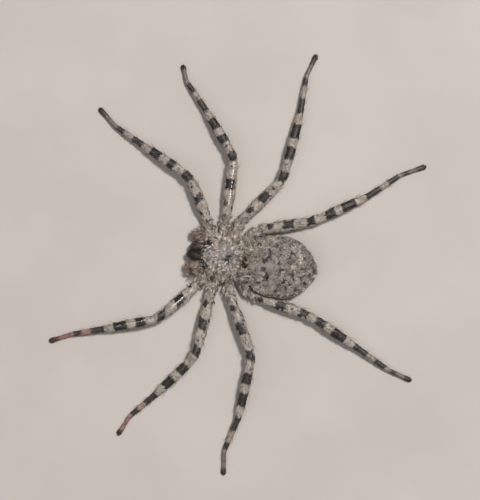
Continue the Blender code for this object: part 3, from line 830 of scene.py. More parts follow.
@dataclass
class Shield:
    """Outline, height and eyes of the head and thorax shield, about its own middle."""

    x: float = -0.10
    middle_y: float = -2.00
    half_outline: Table = (
        (0.00, -3.86), (0.62, -3.84), (1.08, -3.52), (1.70, -2.92), (2.12, -2.20),
        (2.16, -1.40), (1.78, -0.62), (1.12, -0.14), (0.00, -0.06),
    )
    rim_z: float = 1.50
    crown: float = 1.04
    fullness: float = 2.4
    shoulder: float = 0.78
    face_drop: float = 0.50
    face_half_angle: float = math.radians(24.0)
    face_edge: float = math.radians(8.0)
    eye_places: tuple[tuple[str, float, float, float], ...] = (
        ("front_middle", 0.20, -3.71, 0.110),
        ("front_inner", 0.56, -3.67, 0.125),
        ("front_outer", 0.88, -3.53, 0.080),
        ("rear", 1.06, -3.20, 0.165),
    )
    eye_rings: tuple[float, ...] = (0.30, 0.40, 1.60, 1.45)
    eye_sink: float = 0.35
    fovea: Pair = (0.0, -1.34)
    outline: tuple[Array, Array] = field(init=False)

    def __post_init__(self) -> None:
        """Turn the mirrored outline into a smooth radius by direction, through Catmull-Rom curves."""
        right = np.array(self.half_outline)
        left = right[-2:0:-1] * np.array([-1.0, 1.0])
        loop = np.vstack([right, left])
        before, after, far = (np.roll(loop, shift, axis=0) for shift in (1, -1, -2))
        u = np.linspace(0.0, 1.0, 24, endpoint=False)[:, None, None]
        curve = 0.5 * (
            2.0 * loop
            + (after - before) * u
            + (2.0 * before - 5.0 * loop + 4.0 * after - far) * u**2
            + (3.0 * loop - before - 3.0 * after + far) * u**3
        )
        curve = curve.transpose(1, 0, 2).reshape(-1, 2) - np.array([0.0, self.middle_y])
        angle = np.arctan2(curve[:, 0], -curve[:, 1])
        order = np.argsort(angle)
        self.outline = angle[order], np.linalg.norm(curve, axis=1)[order]

    def reach(self, turn: Array) -> Array:
        """Distance from the shield's middle to its edge, a turn of 0 being straight ahead."""
        return np.interp(turn, *self.outline, period=FULL_TURN)

    def top(self, share: Array) -> Array:
        """Height at a share of the way to the edge: rim + crown * (1 - share^fullness)^shoulder."""
        return self.rim_z + self.crown * np.maximum(1.0 - share**self.fullness, 0.0) ** self.shoulder

    def height(self, x: Array, y: Array) -> Array:
        """Height of the coat's surface over (x, y)."""
        share = np.hypot(x, y - self.middle_y) / self.reach(np.arctan2(x, self.middle_y - y))
        return self.top(np.minimum(share, 1.0))

    def eye_gaps(self, x: Array, y: Array) -> list[tuple[Array, float, float]]:
        """Measure from the eyes.

        Args:
            x: Distance from the shield's axis.
            y: Place along the body.

        Returns:
            For each eye, how far its middle is, its radius and how wide its dark ring is in radii.
        """
        return [
            (np.hypot(np.abs(x) - eye_x, y - eye_y), radius, ring)
            for (_, eye_x, eye_y, radius), ring in zip(self.eye_places, self.eye_rings)
        ]

    def from_fovea(self, x: Array, y: Array) -> tuple[Array, Array, Array, Array]:
        """How far across, behind and away from the groove (x, y) is, and in what direction."""
        across, back = x - self.fovea[0], y - self.fovea[1]
        return across, back, np.hypot(across, back), np.arctan2(across, -back)

    def eye(self, side: Side, x: float, y: float, radius: float) -> tuple[Array, Array]:
        """Centre of an eye and the way it looks.

        Args:
            side: Which side it is on.
            x: Its distance from the shield's axis.
            y: Its place along the body.
            radius: Its radius.

        Returns:
            Centre in the animal's coordinates and unit outward direction.
        """
        step = 0.02
        x = side.value * x
        slope_x = (self.height(x + step, y) - self.height(x - step, y)) / (2.0 * step)
        slope_y = (self.height(x, y + step) - self.height(x, y - step)) / (2.0 * step)
        outward = unit(np.array([-float(slope_x), -float(slope_y), 1.0]))
        point = np.array([x + self.x, y, float(self.height(x, y))])
        return point - outward * radius * self.eye_sink, outward

    def relief(self, x: Array, y: Array) -> Array:
        """Add up the skin's own forms: head, groove, furrows that spread from it, eye mounds.

        Args:
            x: Distance from the shield's axis.
            y: Place along the body.

        Returns:
            The height that they add.
        """
        across, back, far, way = self.from_fovea(x, y)
        furrows = sum(mound(np.abs(np.abs(way) - at), 0.085) for at in (0.55, 1.15, 1.75, 2.35))
        rise = 0.06 * mound(x, 0.85) * mound(y + 3.05, 0.8)
        rise = rise - 0.12 * mound(across, 0.06) * mound(back, 0.26)
        rise = rise - 0.045 * furrows * smooth(0.15, 0.5, far) * smooth(1.9, 1.2, far)
        for gap, radius, _ in self.eye_gaps(x, y):
            rise = rise + 0.055 * mound(gap, 1.5 * radius)
        return rise

    def face(self, turn: Array) -> Array:
        """1 straight ahead, where the face goes down behind the jaws, falling to 0 at its sides."""
        return np.clip(0.5 - (np.abs(turn) - self.face_half_angle) / self.face_edge, 0.0, 1.0)


@dataclass
class Prosoma(Surface):
    """Shield, face and breastbone as one body.

    Up to s = top_share the radius grows evenly from the middle to the rim and the height follows
    the shield's dome; past it the ring goes round the lip, in under the shield and down to the
    breastbone, a superellipse.
    """

    shield: Shield
    top_share: float = 0.62
    sternum_y: float = -1.70
    sternum_half: Pair = (0.86, 1.12)
    sternum_fullness: float = 2.8
    under_s: tuple[float, ...] = (0.62, 0.66, 0.70, 0.78, 0.84, 0.90, 0.95, 1.0)
    under_rim: tuple[float, ...] = (1.0, 0.99, 0.95, 0.80, 0.0, 0.0, 0.0, 0.0)
    under_bone: tuple[float, ...] = (0.0, 0.0, 0.0, 0.0, 1.0, 0.97, 0.80, 0.02)
    under_z: tuple[float, ...] = (1.46, 1.43, 1.40, 1.40, 1.38, 0.70, 0.57, 0.54)

    def spacing(self) -> Array:
        """Even rings that start a little away from the middle of the top."""
        return np.linspace(0.006, 1.0, self.rows)

    def at(self, s: Array, t: Array) -> Array:
        """Find points of the body.

        Args:
            s: Share of the way from the middle of the top to that of the breastbone.
            t: Share of the way round, from behind.

        Returns:
            The points.
        """
        turn = FULL_TURN * t - math.pi
        shield = self.shield
        reach = shield.reach(turn) - BODY_COAT
        way_x, way_y = np.sin(turn), -np.cos(turn)
        power = self.sternum_fullness
        half_x, half_y = self.sternum_half
        bone = (np.abs(way_x / half_x) ** power + np.abs(way_y / half_y) ** power) ** (-1.0 / power)
        on_top = s <= self.top_share
        share = np.clip(s / self.top_share, 0.0, 1.0)
        rim_share = np.where(on_top, share, np.interp(s, self.under_s, self.under_rim))
        bone_share = np.where(on_top, 0.0, np.interp(s, self.under_s, self.under_bone))
        radius = reach * rim_share + bone * bone_share
        middle_y = shield.middle_y + (self.sternum_y - shield.middle_y) * np.clip(bone_share * 1.2, 0.0, 1.0)
        middle_y = np.where(s > 0.84, self.sternum_y, middle_y)
        x, y = way_x * radius, middle_y + way_y * radius
        dome = shield.top(share) - BODY_COAT + shield.relief(x, y) * smooth(1.0, 0.86, share)
        low = np.interp(s, self.under_s, self.under_z)
        drop = shield.face_drop * shield.face(turn)
        sunk = smooth(0.63, 0.70, s) * smooth(0.86, 0.80, s)
        low = np.minimum(low, low - drop * sunk)
        z = np.where(on_top, dome, low)
        return np.stack([x + shield.x, y, z], axis=-1)

    def traits(self, at: Spots) -> Traits:
        """Darken the eyes, the groove's star and the stalk, and turn browner toward the outer edge.

        Args:
            at: Places on the body.

        Returns:
            Its traits there.
        """
        x, y, up = at.x - self.shield.x, at.y, at.normals[..., 2]
        mark = np.full(x.shape, -1.0)
        for gap, radius, ring in self.shield.eye_gaps(x, y):
            mark = np.maximum(mark, ring * radius - gap)
        _, _, far, way = self.shield.from_fovea(x, y)
        rays = 0.047 - far * np.abs(np.sin(3.5 * way + 0.4)) / 3.5 - 0.3 * np.maximum(far - 0.22, 0.0)
        mark = np.where(up > 0.3, np.maximum(mark, rays), -1.0)
        tone = smooth(0.90, 1.50, np.abs(x) + 0.25 * np.sin(5.0 * y) + 0.12 * np.sin(11.0 * y + 1.0))
        tone = np.maximum(tone, smooth(-0.95, -0.30, y + 0.14 * np.sin(6.0 * x)))
        bloom = mound(np.hypot(x - 0.20, y + 0.08), 0.40)
        under = up < -0.2
        return Traits(mark, np.where(under, 1.0, tone), np.where(under, 0.35, bloom))

    def lie(self, at: Spots) -> Array:
        """Away from the groove in the middle of the shield."""
        away = at.points - np.array([self.shield.x + self.shield.fovea[0], self.shield.fovea[1], 2.2])
        return unit(away - at.normals * np.sum(away * at.normals, axis=-1, keepdims=True))

    def way_and_share(self, at: Spots) -> tuple[Array, Array]:
        """Measure from the shield's middle.

        Args:
            at: Places on the body.

        Returns:
            The turn from straight ahead, and the share of the way to the edge.
        """
        x, y = at.x - self.shield.x, at.y - self.shield.middle_y
        way = np.arctan2(x, -y)
        return np.abs(way), np.hypot(x, y) / self.shield.reach(way)

    def clear_of_eyes(self, at: Spots) -> Array:
        """Keep the coat off the eyes.

        Args:
            at: Places on the body.

        Returns:
            Share of hair on top, none close to an eye.
        """
        eyes = self.shield.eye_gaps(at.x - self.shield.x, at.y)
        clear = np.min([gap - 0.85 * ring * radius for gap, radius, ring in eyes], axis=0)
        return smooth(0.0, 0.05, clear) * (at.s < 0.64)

    def at_side(self, at: Spots) -> Array:
        """Share of wool at the shield's sides."""
        return smooth(1.0, 1.4, np.abs(at.x - self.shield.x)) * self.clear_of_eyes(at)

    def in_middle(self, at: Spots) -> Array:
        """Share of curls, fewer where the wool grows."""
        return self.clear_of_eyes(at) - 0.6 * self.at_side(at)

    def on_rim(self, at: Spots) -> Array:
        """Share of the long apron over the rim, beside and behind the face."""
        way, share = self.way_and_share(at)
        return smooth(0.78, 0.92, share) * smooth(0.62, 0.85, way) * (at.s < 0.66)

    def on_brow(self, at: Spots) -> Array:
        """Share of the hair that hangs over the front row of eyes."""
        way, share = self.way_and_share(at)
        return smooth(0.84, 0.92, share) * smooth(0.9, 0.6, way) * (at.s < 0.68)

    def beneath(self, at: Spots) -> Array:
        """Share of short hair under the shield and on the breastbone."""
        return 0.6 * (at.s > 0.64)

    def hair_size(self, at: Spots) -> Array:
        """Hair length, shorter in front."""
        return 0.72 + 0.28 * smooth(-3.7, -3.1, at.y)


@dataclass
class Abdomen(Surface):
    """Flat oval abdomen that narrows in front to its stalk.

    At each y its half width and height are superellipses of the way from the widest place to either
    end, blended with the stalk's in front, and each ring is a superellipse, fuller above than below.
    """

    x: float = 0.12
    stalk_front_y: float = -0.34
    stalk_half_width: float = 0.36
    stalk_levels: Pair = (0.60, 1.16)
    stalk_share: float = 0.07
    front_y: float = 0.26
    widest_y: float = 3.62
    rear_y: float = 6.80
    half_width: float = 2.86
    levels: Pair = (0.44, 2.48)
    middle_z: float = 1.62
    front_fullness: float = 2.6
    rear_fullness: float = 1.7
    front_slope: float = 1.75
    middle_rise: float = 2.0
    tail_droop: float = 0.34
    upper_fullness: float = 2.3
    lower_fullness: float = 1.9
    crescents: Rows = ((-0.86, 1.63, -0.55, 1.30), (1.15, 1.66, -1.30, 0.45))
    crescent_radius: float = 0.68
    parting_y: float = 0.95
    flecks: Rows = (
        (-0.07, 3.26, 0.20, 0.15), (0.49, 3.42, 0.32, 0.13), (1.39, 3.89, 0.20, 0.18),
        (-0.92, 4.05, 0.18, 0.14), (-0.32, 3.95, 0.13, 0.13), (0.72, 4.40, 0.16, 0.24),
        (1.05, 4.72, 0.22, 0.16), (1.61, 4.54, 0.15, 0.14), (1.92, 4.20, 0.14, 0.14),
        (1.78, 3.38, 0.15, 0.14), (-1.62, 3.20, 0.24, 0.12), (-1.75, 2.75, 0.20, 0.12),
        (-1.25, 4.30, 0.16, 0.14), (-0.62, 4.55, 0.15, 0.15), (-0.42, 2.60, 0.12, 0.14),
        (1.85, 1.55, 0.15, 0.14), (-1.72, 1.28, 0.16, 0.13), (0.66, 0.62, 0.16, 0.14),
        (-0.95, 5.45, 0.16, 0.20), (1.30, 5.75, 0.16, 0.20),
    )

    def places(self, s: Array) -> Array:
        """Follow the stalk, and then the oval by half a turn of a cosine.

        Args:
            s: Share of the way along.

        Returns:
            Each place along the body.
        """
        stalk = self.stalk_share
        on_stalk = self.stalk_front_y + (self.front_y - self.stalk_front_y) * s / stalk
        turn = math.pi * np.clip((s - stalk) / (1.0 - stalk), 0.0, 0.9985)
        oval = self.front_y + (self.rear_y - self.front_y) * (0.5 - 0.5 * np.cos(turn))
        return np.where(s < stalk, on_stalk, oval)

    def spread(self, y: Array, front_power: float) -> Array:
        """Work out (1 - part^p)^(1/p) each way from the widest place.

        Args:
            y: Places along the body.
            front_power: The p in front of it.

        Returns:
            Share of the full width or height.
        """
        ahead = y < self.widest_y
        front = (self.widest_y - y) / (self.widest_y - self.front_y)
        rear = (y - self.widest_y) / (self.rear_y - self.widest_y)
        power = np.where(ahead, front_power, self.rear_fullness)
        part = np.clip(np.where(ahead, front, rear), 0.0, 1.0)
        return (1.0 - part**power) ** (1.0 / power)

    def relief(self, x: Array, y: Array) -> Array:
        """Add dimples over the muscles, a low swelling on the midline and folds that fan round the tail.

        Args:
            x: Places across the body.
            y: Places along it.

        Returns:
            The height that they add.
        """
        across = x - self.x
        rise = 0.05 * mound(across, 0.35) * smooth(0.8, 1.6, y) * smooth(4.6, 3.2, y)
        for middle_x, middle_y, _, _ in self.crescents:
            gap = np.hypot(x - middle_x, y - middle_y)
            rise = rise + 0.05 * mound(gap, 0.5) - 0.05 * mound(gap - self.crescent_radius, 0.12)
        for fleck_x, fleck_y, _, _ in self.flecks:
            rise = rise - 0.035 * mound(np.hypot(x - fleck_x, y - fleck_y), 0.12)
        fan = np.arctan2(across, y - 4.4)
        far = np.hypot(across, y - 4.4)
        folds = 0.022 * np.cos(fan * 26.0) * smooth(1.5, 2.1, far) * smooth(4.2, 4.8, y)
        return rise + folds

    def at(self, s: Array, t: Array) -> Array:
        """Find points of the abdomen.

        Args:
            s: Share of the way along, from the stalk.
            t: Share of the way round.

        Returns:
            The points.
        """
        y = self.places(s)
        wide, tall = self.spread(y, self.front_fullness), self.spread(y, self.front_slope)
        behind = y > self.widest_y
        stalk_wide = np.where(behind, 0.0, 1.0 - wide)
        stalk_tall = np.where(behind, 0.0, 1.0 - tall)
        stalk_middle = 0.5 * sum(self.stalk_levels)
        half_width = self.half_width * wide + self.stalk_half_width * stalk_wide
        middle = self.middle_z + (stalk_middle - self.middle_z) * stalk_wide**self.middle_rise
        to_tail = np.clip((y - self.widest_y) / (self.rear_y - self.widest_y), 0.0, 1.0)
        middle = middle - self.tail_droop * to_tail**2
        below = (self.middle_z - self.levels[0]) * tall + (stalk_middle - self.stalk_levels[0]) * stalk_tall
        above = (self.levels[1] - self.middle_z) * tall + (self.stalk_levels[1] - stalk_middle) * stalk_tall
        turn = FULL_TURN * t
        upper = np.sin(turn) >= 0.0
        power = np.where(upper, 2.0 / self.upper_fullness, 2.0 / self.lower_fullness)
        inset = np.minimum(BODY_COAT, 0.45 * np.minimum(above, below))
        height = np.where(upper, above, below) - inset
        x = self.x + np.maximum(half_width - inset, 0.0) * signed_power(np.cos(turn), power)
        z = middle + height * signed_power(np.sin(turn), power)
        z = z + self.relief(x, y) * np.clip(np.sin(turn) * 1.6, 0.0, 1.0) * smooth(0.9, 1.5, y)
        return np.stack([x, y, z], axis=-1)

    def share(self, at: Spots) -> Array:
        """Share of the way from the widest place to the oval's edge."""
        across = (at.x - self.x) / self.half_width
        return np.hypot(across, (at.y - self.widest_y) / (self.rear_y - self.widest_y))

    def band(self, at: Spots) -> Array:
        """1 along the smooth middle band, falling to 0 beside it."""
        return mound(at.x - 0.14, 0.28) * smooth(0.8, 1.3, at.y) * smooth(3.9, 3.0, at.y)

    def traits(self, at: Spots) -> Traits:
        """Mark crescents, flecks and the tail's fold, the greyer rim and the smooth middle band.

        Args:
            at: Places on the abdomen.

        Returns:
            Its traits there.
        """
        x, y, up = at.x, at.y, at.normals[..., 2]
        mark = np.full(x.shape, -1.0)
        for middle_x, middle_y, start, end in self.crescents:
            across, back = x - middle_x, y - middle_y
            way = np.arctan2(across, back)
            off = np.abs(np.hypot(across, back) - self.crescent_radius)
            outside = np.maximum(start - way, 0.0) + np.maximum(way - end, 0.0)
            mark = np.maximum(mark, 0.19 - off - 0.50 * outside)
        for fleck_x, fleck_y, half_x, half_y in self.flecks:
            gap = np.hypot((x - fleck_x) / half_x, (y - fleck_y) / half_y)
            mark = np.maximum(mark, (1.12 - gap) * min(half_x, half_y))
        aside = np.abs(x - self.x)
        fold = np.abs(y - 6.58 + 0.85 * aside) * 0.76
        mark = np.maximum(mark, 0.07 - fold - 0.5 * np.maximum(aside - 0.5, 0.0))
        mark = np.where(up > -0.05, mark, -1.0)
        tone = smooth(0.66, 0.94, self.share(at)) * smooth(2.4, 4.0, y)
        tone = np.maximum(tone, smooth(0.25, -0.2, up))
        stalk = smooth(0.75, 0.25, y) * mound(x - 0.20, 0.55)
        return Traits(mark, tone, 0.6 * self.band(at) - stalk, 0.3 * self.band(at))

    def grain(self, at: Spots) -> Array:
        """The skin's own coordinates, drawn out along the body."""
        return at.points * np.array([1.0, 0.45, 1.0])

    def lie(self, at: Spots) -> Array:
        """Comb the coat.

        Args:
            at: Places on the abdomen.

        Returns:
            The way forward over the stalk on the front slope, and toward the tail behind it.
        """
        forward = np.zeros(at.points.shape) + np.array([0.0, -1.0, 0.12])
        forward[..., 0] = 0.35 * (at.x - self.x) / self.half_width
        return np.where(at.y[..., None] < self.parting_y, unit(forward), at.ahead)

    def curly(self, at: Spots) -> Array:
        """Share of short curls, thinner in front, on the middle band and below."""
        thick = (0.62 + 0.38 * smooth(2.4, 4.2, at.y)) * smooth(0.6, 1.1, at.y)
        return thick * (1.0 - 0.75 * self.band(at)) * np.where(at.sin < 0.0, 0.30, 1.0)

    def round_tail(self, at: Spots) -> Array:
        """Share of the longer locks round the tail."""
        return smooth(0.78, 0.92, self.share(at)) * smooth(3.0, 4.2, at.y) * (at.sin > -0.4)

    def in_front(self, at: Spots) -> Array:
        """Share of the mane over the stalk."""
        return smooth(1.15, 0.75, at.y) * (at.sin > -0.5)

    def hair_size(self, at: Spots) -> Array:
        """Hair length, longer behind."""
        return 0.78 + 0.22 * smooth(1.5, 4.5, at.y)


# Centre lines of the mouthparts on their own side of the head's axis, from root to tip
PALP_ROUTES: dict[Side, Corners] = {
    Side.LEFT: ((1.02, -3.60, 0.66), (1.62, -4.00, 0.98), (1.98, -4.38, 1.06), (1.64, -4.74, 0.94),
                (1.08, -4.82, 0.74)),
    Side.RIGHT: ((1.02, -3.60, 0.66), (1.60, -3.96, 1.00), (1.96, -4.28, 1.12), (1.72, -4.62, 1.00),
                 (1.42, -4.66, 0.78)),
}
JAW_ROUTES: dict[Side, Corners] = {
    Side.LEFT: ((0.30, -3.90, 1.28), (0.27, -4.70, 1.30), (0.24, -4.80, 0.42)),
    Side.RIGHT: ((0.60, -3.90, 1.28), (0.62, -4.60, 1.30), (0.58, -4.70, 0.42)),
}


def beside(axis_x: float, side: Side, corners: Corners) -> Corners:
    """Place corners given on their own side of an axis."""
    return tuple((axis_x + side.value * x, y, z) for x, y, z in corners)


@dataclass
class Mouthpart(Tube):
    """A tube on one side of the head."""

    side: Side

    def inward(self, at: Spots) -> Array:
        """1 on the inner side of the route."""
        return 1.0 * (self.side.value * at.cos > 0.3)


@dataclass
class Palp(Mouthpart):
    """A palp round the outside of the jaws: width / 2 * cos across and depth / 2 * sin above."""

    stages: Table = ((0.00, 0.38), (0.20, 0.48), (0.45, 0.62), (0.70, 0.64), (0.92, 0.50), (1.00, 0.28))
    depth_share: float = 0.92
    joints: tuple[float, ...] = (0.24, 0.40, 0.62)
    joint_depth: float = 0.13
    joint_reach: float = 0.035
    tip_share: float = 0.07

    def section(self, s: Array, t: Array) -> tuple[Array, Array]:
        """Draw the palp in at its joints and close its tip as a dome.

        Args:
            s: Share of the way along the route.
            t: Share of the way round it.

        Returns:
            How far across and above the route it is.
        """
        waist = 1.0 - self.joint_depth * sum(mound(s - joint, self.joint_reach) for joint in self.joints)
        near = np.clip((s - 1.0) / self.tip_share + 1.0, 0.0, 1.0)
        close = np.maximum(np.sqrt(np.maximum(1.0 - near**2, 0.0)), 0.03)
        half = 0.5 * (eased(self.stages, s) - 2.0 * LIMB_COAT) * waist * close
        return half * np.cos(FULL_TURN * t), half * self.depth_share * np.sin(FULL_TURN * t)

    def traits(self, at: Spots) -> Traits:
        """Brown blotches at the joints, and a darker tip."""
        blotch = np.maximum(0.10 - np.abs(at.s - 0.50) * 0.9, (0.05 - np.abs(at.s - 0.82)) * 2.0)
        return Traits(blotch - 0.12 * (at.normals[..., 2] < 0.0), smooth(0.3, 0.9, at.s))


@dataclass
class Jaw(Mouthpart):
    """One jaw as a stout, slightly square tube, bent down at its end and fuller on its inner side.

    It lies width / 2 * cos^k across its route and width * 0.56 * sin^k above it, with k a little below
    one, and the last tenth closes as a dome. The inner half is pushed toward the other jaw, and the
    outer half stands a little further back.
    """

    stages: Table = ((0.00, 0.64), (0.32, 0.75), (0.60, 0.75), (0.82, 0.66), (0.95, 0.50), (1.00, 0.30))
    squareness: float = 0.90
    depth_share: float = 0.56
    inner_swell: float = 0.066
    tip_share: float = 0.1
    skews: Pair = (0.02, 0.20)

    def spacing(self) -> Array:
        """Rings that crowd toward both ends."""
        return 0.5 - 0.5 * np.cos(np.linspace(0.0, math.pi, self.rows))

    def section(self, s: Array, t: Array) -> tuple[Array, Array]:
        """Square the tube, swell its inner side and close its tip.

        Args:
            s: Share of the way along the route.
            t: Share of the way round it.

        Returns:
            How far across and above the route it is.
        """
        near = np.clip((s - 1.0) / self.tip_share + 1.0, 0.0, 1.0)
        width = eased(self.stages, s) * np.sqrt(np.clip(1.0 - near**2, 0.02, 1.0))
        cos, sin = np.cos(FULL_TURN * t), np.sin(FULL_TURN * t)
        inner = np.maximum(self.side.value * cos, 0.0) * smooth(0.0, 0.25, s) * smooth(1.0, 0.6, s)
        swell = self.side.value * self.inner_swell * inner
        across = 0.5 * width * signed_power(cos, self.squareness) + swell
        return across, self.depth_share * width * signed_power(sin, self.squareness)

    def at(self, s: Array, t: Array) -> Array:
        """Find points of the jaw, the outer ones pushed back.

        Args:
            s: Share of the way along the route.
            t: Share of the way round it.

        Returns:
            The points.
        """
        points = super().at(s, t)
        outer = 0.5 - 0.5 * self.side.value * np.cos(FULL_TURN * t)
        points[..., 1] += self.skews[self.side is Side.RIGHT] * outer * smooth(0.15, 0.5, s)
        return points

    def traits(self, at: Spots) -> Traits:
        """Dusky all over."""
        return Traits(np.full(at.s.shape, -1.0), bloom=1.0)


@dataclass
class Lobe(Tube):
    """An egg-shaped lobe between two points: radius * sqrt(1 - (2s - 1)^2), tapered toward its end."""

    radii: Pair
    taper: float
    tone: float = 0.8
    end_turn: float = 0.06

    def spacing(self) -> Array:
        """Rings that crowd toward both ends."""
        return 0.5 - 0.5 * np.cos(np.linspace(self.end_turn, math.pi - self.end_turn, self.rows))

    def section(self, s: Array, t: Array) -> tuple[Array, Array]:
        """How far across and above the line between the points each (s, t) is."""
        girth = np.sqrt(np.maximum(1.0 - (2.0 * s - 1.0) ** 2, 0.0)) * (1.0 - self.taper * s)
        return self.radii[0] * girth * np.cos(FULL_TURN * t), self.radii[1] * girth * np.sin(FULL_TURN * t)

    def traits(self, at: Spots) -> Traits:
        """One even tone."""
        return Traits(np.full(at.s.shape, -1.0), tone=self.tone)


@dataclass(frozen=True)
class Recipe:
    """How one kind of hair grows, in millimetres and degrees.

    Attributes:
        clumps: Clumps in each square millimetre where the coat is full.
        strands: Hairs in a clump.
        length: Shortest and longest hair.
        girth: Width of a hair at its root.
        spread: How far from the clump's middle its hairs are rooted.
        lift: Angle off the skin at the root and at the tip.
        curl: How far a hair turns sideways by its tip.
        stray: How far a clump's lie turns from the coat's.
        fan: How far a hair's lie turns from its clump's.
        gather: Share by which a clump's hairs close up at their tips, as a lock does.
        rings: Rings of three points from root to tip.
        tint: Added to each hair's own shade.
    """

    clumps: float
    strands: int
    length: Pair
    girth: float
    spread: float
    lift: Pair
    curl: float
    stray: float
    fan: float
    gather: float = 0.0
    rings: int = 3
    tint: float = 0.0


def everywhere(at: Spots) -> Array:
    """A full coat at every place."""
    return np.ones(at.s.shape)


@dataclass
class Coat:
    """Hair as closed, tapered three-sided strands in clumps, gathered into one piece.

    Attributes:
        root_depth: How far under the skin a hair starts.
        lift_spread: How far hairs differ in their lift, as a share of it.
        least_curl: Smallest share of a recipe's curl.
        thinning: Share of its width that a hair loses toward its tip.
        flatness: A hair's height against its width.
        half_way: Share of its length ahead of its root from which a leg's hair takes its markings.
    """

    name: str
    seed: int
    root_depth: float = 0.014
    lift_spread: float = 0.16
    least_curl: float = 0.35
    clump_shade: float = 0.80
    hair_shade: float = 0.40
    thinning: float = 0.72
    flatness: float = 0.7
    half_way: float = 0.45
    stock: Stock = field(default_factory=Stock)
    rng: np.random.Generator = field(init=False)

    def __post_init__(self) -> None:
        """Seed the piece's own draw."""
        self.rng = np.random.default_rng(self.seed)

    def grow(
        self, surface: Surface, recipe: Recipe, where: Share = everywhere, size: Share = everywhere,
        chart: Chart = WHOLE_MAP,
    ) -> None:
        """Grow one kind of hair on a surface.

        A hair starts a little under the skin and takes equal steps; at a share u of its length its
        way is the coat's lie turned by its own angle plus curl * u, lifted from the skin by an angle
        that goes evenly from the recipe's first lift to its second.

        Args:
            surface: What it grows on.
            recipe: How it grows.
            where: Share of the full coat at each place.
            size: Share of the full length at each place.
            chart: Part of the map that the surface's unwrap fills.
        """
        rng = self.rng
        s, t = surface.scatter(recipe.clumps, where, rng)
        if len(s) == 0:
            return
        count, each, steps = len(s), recipe.strands, recipe.rings
        at = surface.spots(s, t)
        lie, normals = surface.lie(at), at.normals
        beside = np.cross(normals, lie)
        steep = np.linalg.norm(beside, axis=-1, keepdims=True) < 0.5
        beside = unit(np.where(steep, np.cross(UP, lie), beside))
        turn = np.radians(rng.normal(0.0, recipe.stray, count))[:, None]
        turn = turn + np.radians(rng.normal(0.0, recipe.fan, (count, each)))
        curl = rng.uniform(self.least_curl, 1.0, count) * rng.choice([-1.0, 1.0], count)
        curl = np.radians(recipe.curl) * curl
        shade = self.clump_shade * rng.normal(0.0, 1.0, count)[:, None]
        shade = shade + self.hair_shade * rng.normal(0.0, 1.0, (count, each)) + recipe.tint
        length = rng.uniform(*recipe.length, (count, each)) * size(at)[:, None]
        offset = rng.normal(0.0, recipe.spread, (count, each, 2))
        lift = np.radians(rng.normal(1.0, self.lift_spread, (count, each)))
        aside = lie[:, None] * offset[..., :1] + beside[:, None] * offset[..., 1:]
        root = at.points[:, None] + aside - normals[:, None] * self.root_depth

        share = (np.arange(steps) + 0.5) / steps
        heading = turn[..., None] + curl[:, None, None] * share
        raised = lift[..., None] * (recipe.lift[0] + (recipe.lift[1] - recipe.lift[0]) * share)
        flat = np.cos(raised)[..., None]
        way = flat * np.cos(heading)[..., None] * lie[:, None, None]
        way = way + flat * np.sin(heading)[..., None] * beside[:, None, None]
        way = way + np.sin(raised)[..., None] * normals[:, None, None]
        path = np.cumsum(way * (length / steps)[..., None, None], axis=2)
        path = np.concatenate([np.zeros_like(path[:, :, :1]), path], axis=2) + root[:, :, None]
        path = path - aside[:, :, None] * (recipe.gather * np.arange(steps + 1) / steps)[:, None]

        across = unit(np.cross(way, normals[:, None, None]))
        above = np.cross(across, way)
        girth = 0.5 * recipe.girth * (1.0 - self.thinning * (np.arange(steps) / steps) ** 1.5)
        corner = FULL_TURN * (np.arange(3) / 3.0 + 0.25)
        ring = across[..., None, :] * (girth[:, None] * np.cos(corner))[..., None]
        ring = ring + above[..., None, :] * (girth[:, None] * self.flatness * np.sin(corner))[..., None]
        total, per_hair = count * each, 3 * steps + 1
        rings = (path[:, :, :steps, None] + ring).reshape(total, 3 * steps, 3)
        shaped = np.concatenate([rings, path[:, :, steps:].reshape(total, 1, 3)], axis=1)
        shaped[..., 2] = under_ceiling(on_floor(shaped)[..., 2])

        step, rise = surface.stride(s, t, 0.004)
        run = np.maximum(np.linalg.norm(step, axis=-1) / rise, 1e-6)
        ahead = self.half_way * length.mean(axis=1) / run * (surface.region is Region.LEG)
        traits = surface.traits(replace(at, s=np.clip(s + ahead, 0.0, 1.0))).named()
        values = {key: np.repeat(value, each * per_hair) for key, value in traits.items()}
        values["root_at"] = np.repeat((root - SPAN_MIDDLE).reshape(total, 3), per_hair, axis=0)
        values["shade"] = np.repeat(shade.ravel(), per_hair)
        values["along"] = np.tile([*np.repeat(np.arange(steps) / steps, 3), 1.0], total)

        own = self.faces(steps)
        start = (np.arange(total) * per_hair)[:, None, None]
        faces = [(part + start).reshape(-1, part.shape[1]) for part in own]
        u, v, width, height = chart
        middle = np.repeat(np.stack([u + width * s, v + height * t], axis=1), each, axis=0)
        self.stock.add(shaped.reshape(-1, 3), faces, self.patches(middle, own, steps), values)

    @staticmethod
    def faces(steps: int) -> list[Array]:
        """List the faces of one strand: its sides, its tip and the end that is sunk in the skin.

        Args:
            steps: Rings of three points below the tip.

        Returns:
            Quads and triangles by the strand's own point numbers.
        """
        quads = [
            (3 * k + m, 3 * k + (m + 1) % 3, 3 * k + 3 + (m + 1) % 3, 3 * k + 3 + m)
            for k in range(steps - 1)
            for m in range(3)
        ]
        last = 3 * (steps - 1)
        tris = [(last + m, last + (m + 1) % 3, 3 * steps) for m in range(3)] + [(2, 1, 0)]
        return [np.array(quads), np.array(tris)]

